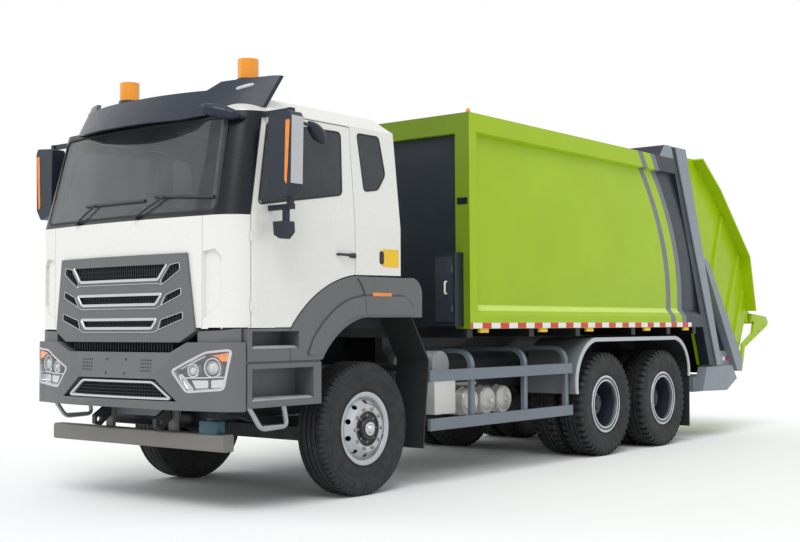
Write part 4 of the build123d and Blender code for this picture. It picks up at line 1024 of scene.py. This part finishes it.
for label, side in bothSides:
    bm = bmesh.new()
    start = side * dots["y"] - (dots["columns"] - 1) / 2 * dots["step"]
    for k in range(dots["rows"]):
        z = dots["step"] * k
        back = bumperX(dots["y"], dots["z"] + z) - face
        addSlab(bm, (back - 0.004, -0.0065, z - 0.0065), (back + 0.0058, 0.0065, z + 0.0065), 0.001)
    centre = at(face - 0.004, start, dots["z"])
    values = {"Count": dots["columns"], "Step": (0, dots["step"], 0), "Centre": tuple(centre)}
    repeatPiece(bm, "bumperHoles" + label.title(), rowTree, values, "chassis", "black_plastic")
bm = bmesh.new()
for bolt in bumperLook["bolts"]:
    addTube(bm, [onBumper(bolt, h) for h in (-0.004, 0.002, 0.0035)], 0.009, 16)
newPiece(bm, "plateBolts", "chassis", "black_plastic")

# Headlamps: dark tray, bright frame, ringed projectors, amber corner, silver plates, clear cover
lamp = {"outline": [(0.645, 1.076), (0.968, 1.216), (1.180, 1.235), (1.126, 0.944), (0.790, 0.919)],
        "tray": -0.050, "projectors": [(0.838, 1.080, 0.046), (1.012, 1.102, 0.070)],
        "dome": ((0.60, 0.0), (0.60, 0.020), (0.48, 0.031), (0.30, 0.038), (0, 0.041)),
        "amber": [(1.000, 1.192), (1.160, 1.218), (1.150, 1.150), (1.098, 1.150), (1.062, 1.180)],
        "strips": [[(0.690, 1.022), (0.900, 1.026), (1.145, 1.036)],
                   [(0.720, 1.090), (0.830, 1.138), (0.940, 1.186)]],
        "plates": [[(0.688, 1.050), (0.722, 1.052), (0.835, 0.936), (0.795, 0.932)],
                   [(0.852, 0.945), (0.960, 0.950), (0.960, 1.008), (0.812, 1.006)],
                   [(0.985, 0.952), (1.108, 0.958), (1.122, 1.018), (0.985, 1.010)]]}


def lampTray(point, lift):
    return onBumper(point, lamp["tray"] + lift)


tray, framing, bright, amber, lens, cover = (bmesh.new() for k in range(6))
for label, side in bothSides:
    outline = dense(rounded(sided(lamp["outline"], side), 0.03, 4), 0.05)
    addPanel(tray, outline, onBumper, -0.052, -0.044)
    addTrim(framing, outline, onBumper, 0.027, -0.052, 0.002)
    for plate in lamp["plates"]:
        addPanel(bright, dense(rounded(sided(plate, side), 0.008, 2), 0.05), onBumper, -0.046, -0.034)
    addPanel(cover, outline, onBumper, -0.006, -0.003)
    addPanel(amber, dense(rounded(sided(lamp["amber"], side), 0.01, 3), 0.05), onBumper, -0.046, -0.012)
    for strip in lamp["strips"]:
        line = dense(rounded(sided(strip, side), 0.03, 4, False), 0.05, False)
        addTrim(bright, line, onBumper, 0.014, -0.046, -0.024, False)
    for y, z, radius in lamp["projectors"]:
        middle = Vector((side * y, z))
        spokes = [Vector(spoke) * radius for spoke in circle(32)]
        addTrim(bright, [middle + s for s in spokes], lampTray, 0.014, -0.002, 0.034)
        addTrim(bright, [middle + s * 0.66 for s in spokes], lampTray, 0.006, -0.002, 0.030)
        rings = []
        for share, lift in lamp["dome"]:
            ring = spokes if share else spokes[:1]
            rings.append([lens.verts.new(lampTray(middle + s * share, lift)) for s in ring])
        joinRings(lens, rings)
        lens.faces.new(rings[0])
for bm, name, slot, look in ((tray, "lampTrays", "black_plastic", "blackFrame"),
                             (framing, "lampFrames", "rod_chrome", "frameSilver"),
                             (bright, "lampBrightwork", "rod_chrome", "rodChrome"),
                             (amber, "lampAmber", "beacon_orange", "amberLens"),
                             (lens, "lampProjectors", "lamp_lens", "lampLens"),
                             (cover, "lampCovers", "lamp_lens", "coverClear")):
    piece = newPiece(bm, name, "chassis", slot, look)
    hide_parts("headlamps")

# Wipers: two arms towards the vehicle's left, blade along the foot of the screen
wipers = [{"pivot": (-0.551, 2.257), "elbow": (-0.326, 2.395), "tip": (0.275, 2.393)},
          {"pivot": (0.209, 2.263), "elbow": (0.501, 2.410), "tip": (1.000, 2.379)}]
bm = bmesh.new()
for wiper in wipers:
    pivot, elbow, tip = (Vector(wiper[k]) for k in ("pivot", "elbow", "tip"))
    addTube(bm, [onScreen(pivot, h) for h in (-0.004, 0.020, 0.030)], 0.016, 16)
    arm = ((pivot, 0.024), (pivot.lerp(elbow, 0.5), 0.030), (elbow, 0.024))
    addTube(bm, [onScreen(spot, h) for spot, h in arm], 0.008, 8)
    start = elbow + (elbow - tip) * 0.25
    addTrim(bm, dense([start, tip], 0.06, False), onScreen, 0.020, 0.002, 0.018, False)
newPiece(bm, "wipers", "cab", "black_plastic")

# Screen rubber
screenLine = dense(rounded([(-1.035, 2.276), (1.035, 2.276), (0.995, 3.005), (-0.995, 3.005)], 0.07, 5))
trimPiece("screenRubber", "cab", "flap_rubber", None, screenLine, onScreen, 0.018, -0.004, 0.004)
print("front ready")

# Doors and cab sides: window rubbers, handles, warning square with its vent, marker
cabSide = {"doorWindow": [(1.185, 2.967), (1.330, 2.325), (0.370, 2.471), (0.340, 2.987)],
           "quarterWindow": [(0.130, 3.004), (-0.150, 3.007), (-0.205, 2.686), (-0.095, 2.551),
                             (0.084, 2.525)],
           "well": [(0.225, 1.958), (0.305, 1.964), (0.305, 1.998), (0.225, 2.002)],
           "grip": [(0.262, 1.240, 1.980), (0.268, 1.262, 1.980), (0.300, 1.270, 1.981),
                    (0.410, 1.270, 1.983), (0.442, 1.262, 1.984), (0.448, 1.240, 1.984)],
           "square": (-0.342, -0.122, 1.902, 2.054), "marker": (-0.258, 0.030, 1.628, 1.708),
           "face": 1.2395, "rubber": (0.014, -0.006, 0.004)}


def dressDoor(label, side):
    door = "door_" + label
    window = dense(rounded(cabSide["doorWindow"], 0.045, 5), 0.1)
    trimPiece(label + "WindowRubber", door, "flap_rubber", None, window, onSide(side), *cabSide["rubber"])
    quarter = dense(rounded(cabSide["quarterWindow"], 0.035, 4), 0.1)
    trimPiece(label + "QuarterRubber", "cab", "flap_rubber", None, quarter, onSide(side), *cabSide["rubber"])
    bm = bmesh.new()
    addPanel(bm, dense(rounded(cabSide["well"], 0.018, 5), 0.05), onSide(side), -0.003, 0.012)
    addTube(bm, rounded(alongSide(cabSide["grip"], side), 0.012, 3, False), 0.0105, 12)
    newPiece(bm, label + "DoorHandle", door, "black_plastic")
    face = onFlank(side, cabSide["face"])
    rear, front, low, high = cabSide["square"]
    square = rounded(oblong(rear, front, low, high), 0.008, 2)
    panelPiece(label + "WarningSquare", "cab", "lamp_lens", "yellowPaint", square, face, -0.002, 0.0025)
    bm = bmesh.new()
    vent = oblong(front - 0.02, front + 0.035, low + 0.02, high - 0.02)
    addPanel(bm, rounded(vent, 0.026, 5), face, -0.002, 0.004)
    for k in range(5):
        z = low + 0.036 + 0.020 * k
        addTrim(bm, [(front - 0.010, z), (front + 0.025, z)], face, 0.008, 0.002, 0.007, False)
    newPiece(bm, label + "CabVent", "cab", "black_plastic")
    bm = bmesh.new()
    rear, front, low, high = cabSide["marker"]
    addPanel(bm, rounded(oblong(rear, front, low, high), 0.012, 3), onFlank(side, 1.242), -0.002, 0.0025)
    ridge = [(rear + 0.02, (low + high) / 2), (front - 0.02, (low + high) / 2)]
    addTrim(bm, ridge, onFlank(side, 1.244), 0.030, 0.0, 0.005, False)
    newPiece(bm, label + "SideMarker", "chassis", "beacon_orange", "amberLens")


# Mirror heads: amber strip on the front edge, two glasses behind
mirror = {"strip": [(1.562, 2.930), (1.520, 2.930), (1.506, 2.480), (1.530, 2.450)],
          "front": 1.330, "rear": 1.196,
          "glasses": [[(1.365, 2.945), (1.535, 2.958), (1.543, 2.700), (1.365, 2.690)],
                      [(1.365, 2.660), (1.542, 2.668), (1.532, 2.470), (1.490, 2.405), (1.368, 2.432)]]}


def dressMirror(label, side):
    door = "door_" + label
    strip = rounded(sided(mirror["strip"], side), 0.012, 3)
    front = onWall(mirror["front"])
    panelPiece(label + "MirrorStrip", door, "beacon_orange", "amberLens", strip, front, -0.004, 0.004)
    bm = bmesh.new()
    for glass in mirror["glasses"]:
        addPanel(bm, rounded(sided(glass, side), 0.02, 4), onWall(mirror["rear"]), 0.0, -0.005)
    newPiece(bm, label + "MirrorGlass", door, "rod_chrome")


# Steps: bright treads with ridges, a loop below, a seal under the cab
steps = {"treads": ((0.735, 1.395, 0.852), (0.905, 1.395, 1.242)), "ridges": 7,
         "loop": [(1.404, 1.20, 0.815), (1.269, 1.20, 0.635), (0.991, 1.20, 0.644), (1.028, 1.20, 0.815)],
         "foot": [(1.005, 1.17, 0.645), (1.262, 1.228, 0.662)],
         "seal": [[(0.66, 1.10, 1.386), (1.30, 1.234, 1.3975)],
                  [(0.66, 1.226, 1.374), (1.30, 1.238, 1.3975)]]}


def dressSteps(label, side):
    bm = bmesh.new()
    for rear, front, z in steps["treads"]:
        addSlab(bm, *alongSide([(rear, 1.050, z - 0.006), (front, 1.236, z + 0.012)], side))
        for k in range(steps["ridges"]):
            y = 1.066 + 0.026 * k
            ridge = [(rear + 0.02, y - 0.006, z + 0.010), (front - 0.02, y + 0.006, z + 0.020)]
            addSlab(bm, *alongSide(ridge, side), 0.003)
    addTube(bm, rounded(alongSide(steps["loop"], side), 0.05, 5, False), 0.019, 14)
    addSlab(bm, *alongSide(steps["foot"], side), 0.006)
    newPiece(bm, label + "StepTreads", "chassis", "tank_alloy", "treadAlloy")
    bm = bmesh.new()
    for corners in steps["seal"]:
        addSlab(bm, *alongSide(corners, side), 0.003)
    newPiece(bm, label + "StepSeal", "chassis", "flap_rubber")


# Fender: raised lower band under a dark step line that is painted shadow, and a dark seam
fender = {"step": [(0.800, 1.185), (0.731, 1.316), (0.627, 1.427), (0.478, 1.542), (0.325, 1.615),
                   (0.135, 1.652), (-0.434, 1.655), (-0.533, 1.565)],
          "edge": [(-0.545, 1.500), (0.105, 1.500), (0.290, 1.468), (0.445, 1.390), (0.557, 1.298),
                   (0.635, 1.185)],
          "seam": [(0.202, 1.795), (0.134, 1.725), (0.105, 1.610), (0.092, 1.500)], "face": 1.245}


def dressFender(label, side):
    face = onFlank(side, fender["face"])
    band = rounded(fender["step"] + fender["edge"], 0.03, 3)
    panelPiece(label + "FenderBand", "chassis", "grey_plastic", None, band, face, -0.002, 0.008)
    bm = bmesh.new()
    addTrim(bm, rounded(fender["step"], 0.08, 4, False), face, 0.034, -0.002, 0.0025, False)
    addTrim(bm, rounded(fender["seam"], 0.05, 4, False), face, 0.006, -0.002, 0.0095, False)
    # painted shadow along the step; the seam takes the same dark grey
    newPiece(bm, label + "FenderStep", "chassis", "grey_plastic", "deepGrey")


# Body: reflecting tape and small tags on the rail, a lamp on top, a blank plate on the front wall
rail = {"tape": [(-1.385, 1.406), (-3.70, 1.406), (-6.02, 1.406)],
        "tags": (-1.628, -2.670, -3.594, -4.899, -5.900),
        "lamp": [(-1.44, 1.20, z) for z in (3.384, 3.396, 3.400, 3.418, 3.430)],
        "lampRadii": [0.028, 0.028, 0.021, 0.019, 0.008], "plate": (1.112, 1.228, 2.53, 2.592)}


def dressBody(label, side):
    face = onFlank(side, 1.2495)
    tape = (rail["tape"], face, 0.052, -0.001, 0.002, False)
    trimPiece(label + "RailTape", "chassis", "lamp_lens", "railTape", *tape)
    bm = bmesh.new()
    for station in rail["tags"]:
        tag = [(station - 0.07, 1.205, 1.338), (station + 0.07, 1.240, 1.379)]
        addSlab(bm, *alongSide(tag, side), 0.006)
    newPiece(bm, label + "RailTags", "chassis", "lamp_lens", "yellowPaint")
    bm = bmesh.new()
    addTube(bm, alongSide(rail["lamp"], side), rail["lampRadii"], 16)
    newPiece(bm, label + "SideLamps", "chassis", "beacon_orange", "amberLens")
    outline = rounded(sided(oblong(*rail["plate"]), side), 0.006, 2)
    plate = (outline, onWall(-1.380), -0.001, 0.004)
    panelPiece(label + "BlankPlate", "chassis", "black_plastic", "blackFrame", *plate)


# Tailgate: a dark sheet between the rails as painted shade, foot reflectors
tail = {"field": [(-6.70, 2.24), (-7.00, 1.07), (-7.47, 1.07)],
        "feet": (("FootWhite", "cabWhite", (-7.180, -7.258, 0.940, 0.990)),
                 ("FootRed", "redLens", (-7.260, -7.338, 0.940, 0.990)))}


def dressTail(label, side):
    # painted shade: a dark sheet standing in for the shadow in the gap between the rails
    field = (tail["field"], onFlank(side, 1.10), -0.001, 0.004)
    panelPiece(label + "TailField", "tailgate", "slate_paint", "recessPaint", *field)
    for name, look, spot in tail["feet"]:
        foot = rounded(oblong(*spot), 0.006, 2)
        panelPiece(label + name, "tailgate", "lamp_lens", look, foot, onFlank(side, 1.1235), -0.001, 0.004)


for label, side in bothSides:
    for dress in (dressDoor, dressMirror, dressSteps, dressFender, dressBody, dressTail):
        dress(label, side)

# Slim lamps on the visor's wings: clear on the left, amber on the right
visorLamp = {"path": [(1.251, 0.912, 3.243), (1.243, 0.922, 3.247), (1.209, 0.965, 3.263),
                      (1.174, 1.012, 3.277), (1.166, 1.023, 3.280)],
             "radii": [0.008, 0.016, 0.017, 0.016, 0.008]}
for label, side, slot, look in (("left", 1, "lamp_lens", "lampLens"),
                                ("right", -1, "beacon_orange", "amberLens")):
    bm = bmesh.new()
    addTube(bm, alongSide(visorLamp["path"], side), visorLamp["radii"], 14)
    newPiece(bm, label + "VisorLamp", "cab", slot, look)

# Kerb mirror: a dark pod on a short arm behind the left mirror head
kerb = {"front": (0.955, 1.40, 2.972), "rear": (0.745, 1.38, 2.840),
        "arm": [(1.205, 1.42, 2.930), (1.06, 1.42, 2.955)],
        "radii": [0.012, 0.034, 0.048, 0.055, 0.056, 0.050, 0.036, 0.010]}
bm = bmesh.new()
front, rear = at(*kerb["front"]), at(*kerb["rear"])
addTube(bm, [front.lerp(rear, k / 7) for k in range(8)], kerb["radii"], 20)
addTube(bm, rounded([*alongSide(kerb["arm"], 1), front.lerp(rear, 0.2)], 0.05, 4, False), 0.014, 12)
newPiece(bm, "kerbMirror", "door_left", "slate_plastic")

# Cabinet on the body's front wall: door, hinges, handle
cabinet = {"door": (0.96, 1.16, 1.44, 2.04), "face": -1.240, "hinges": (1.56, 1.92),
           "handle": [(-1.236, 1.09, 1.70), (-1.206, 1.09, 1.70), (-1.206, 1.09, 1.81),
                      (-1.236, 1.09, 1.81)]}
bm = bmesh.new()
addPanel(bm, rounded(oblong(*cabinet["door"]), 0.02, 4), onWall(cabinet["face"]), -0.001, 0.008)
for z in cabinet["hinges"]:
    addTube(bm, [at(-1.226, 1.155, z + h) for h in (-0.03, 0, 0.03)], 0.012, 12)
newPiece(bm, "cabinetDoor", "chassis", "slate_paint")
bm = bmesh.new()
addTube(bm, rounded(alongSide(cabinet["handle"], 1), 0.02, 4, False), 0.009, 12)
newPiece(bm, "cabinetHandle", "chassis", "cab_white")

# Behind the underrun bar: a flanged beam and a blank valance plate under the bumper
bm = bmesh.new()
addSlab(bm, at(1.255, -0.60, 0.610), at(1.275, 0.60, 0.790))
for z in (0.610, 0.770):
    addSlab(bm, at(1.205, -0.60, z), at(1.270, 0.60, z + 0.018))
newPiece(bm, "frontBeam", "chassis", "black_frame")
bm = bmesh.new()
addPanel(bm, rounded(oblong(-0.43, 0.43, 0.700, 0.792), 0.012, 3), onWall(1.385), -0.004, 0.006)
for y in (-0.30, 0.30):
    addSlab(bm, at(1.265, y - 0.02, 0.755), at(1.385, y + 0.02, 0.785))
newPiece(bm, "valancePlate", "chassis", "grey_plastic", "guardGrey")

# Air tanks: straps and end bosses; coupling block on the underrun bar
airTanks = {"stations": (-1.68, -1.965, -2.25), "straps": (0.62, 0.92), "end": 1.057, "z": 0.69,
            "strap": [(0.128, -0.018), (0.1335, -0.018), (0.1345, 0), (0.1335, 0.018), (0.128, 0.018)],
            "boss": [(0, -0.03), (0.026, -0.03), (0.026, 0.006), (0.017, 0.010), (0.017, 0.026), (0, 0.028)]}
bm = bmesh.new()
for station in airTanks["stations"]:
    for y in airTanks["straps"]:
        addLathe(bm, airTanks["strap"], at(station, y, airTanks["z"]), 1, 48)
    addLathe(bm, airTanks["boss"], at(station, airTanks["end"], airTanks["z"]), 1, 24, False)
newPiece(bm, "airTankStraps", "chassis", "rod_chrome", "brightTrim")
bm = bmesh.new()
addSlab(bm, at(1.405, 0.76, 0.598), at(1.495, 0.96, 0.700), 0.012)
addTube(bm, [at(1.45, 0.85, z) for z in (0.695, 0.710, 0.717)], 0.03, 18)
newPiece(bm, "couplingBlock", "chassis", "slate_paint", "tealPaint")

# Rear lamps in a row on the rear tank's ends
bm = bmesh.new()
for label, side in bothSides:
    for k in range(3):
        y = side * (0.72 + 0.13 * k)
        addTube(bm, [at(station, y, 0.668) for station in (-7.148, -7.165, -7.172)], 0.05, 24)
newPiece(bm, "rearLamps", "chassis", "lamp_lens", "redLens")
print("sides ready")

# Seats: plump pads pulled in along their seams, in place of the plain seat blocks
seats = {"y": 0.60, "puff": 0.022, "round": 0.28, "cuts": 9,
         "base": [(-0.16, -0.20, 1.892), (0.20, 0.20, 1.994)],
         "post": [(-0.19, 2.56), (-0.212, 2.66), (-0.222, 2.70)], "postY": (-0.07, 0.07),
         "pads": [{"low": (-0.18, -0.26, 1.99), "high": (0.38, 0.26, 2.12), "lean": 0.0},
                  {"low": (-0.18, -0.25, 2.02), "high": (-0.06, 0.25, 2.62), "lean": -0.107},
                  {"low": (-0.268, -0.15, 2.66), "high": (-0.163, 0.15, 2.85), "lean": -0.107}]}


def addPad(bm, pad, y):
    low, high = Vector(pad["low"]), Vector(pad["high"])
    block = bmesh.new()
    bmesh.ops.create_cube(block, size=1)
    bmesh.ops.subdivide_edges(block, edges=block.edges[:], cuts=seats["cuts"], use_grid_fill=True)
    thin = min(range(3), key=lambda k: high[k] - low[k])
    first, second = (k for k in range(3) if k != thin)
    for vert in block.verts:
        share = vert.co * 2
        place = []
        for k in range(3):
            bulge = 1 - seats["round"] * (share[(k + 1) % 3] ** 2 + share[(k + 2) % 3] ** 2)
            place.append(low[k] + (high[k] - low[k]) * (share[k] * math.sqrt(max(0, bulge)) + 1) / 2)
        seam = math.cos(share[1] * math.pi * 2.5) * 0.35 + 0.65
        swell = (1 - share[first] ** 4) * (1 - share[second] ** 4) * seam
        if abs(share[thin]) > 0.6:
            place[thin] += math.copysign(seats["puff"] * swell, share[thin])
        place[0] += pad["lean"] * (place[2] - low[2])
        vert.co = at(place[0], place[1] + y, place[2])
    shape = bpy.data.meshes.new("padShape")
    block.to_mesh(shape)
    block.free()
    bm.from_mesh(shape)
    bpy.data.meshes.remove(shape)


pads, bases = bmesh.new(), bmesh.new()
for y in (seats["y"], -seats["y"]):
    for pad in seats["pads"]:
        addPad(pads, pad, y)
    low, high = (at(station, y + way, z) for station, way, z in seats["base"])
    addSlab(bases, low, high, 0.02)
    for way in seats["postY"]:
        addTube(bases, [at(station, y + way, z) for station, z in seats["post"]], 0.007, 8)
cushions = newPiece(pads, "seatCushions", "cab", "trim_fabric", smooth=70)
soft = cushions.modifiers.new("soft", "SUBSURF")
soft.levels = 1
soft.render_levels = 1
baked(cushions)
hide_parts("cab_seats")
base = newPiece(bases, "seatBases", "cab", "black_plastic")
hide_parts("cab_seats")
print("seats ready")
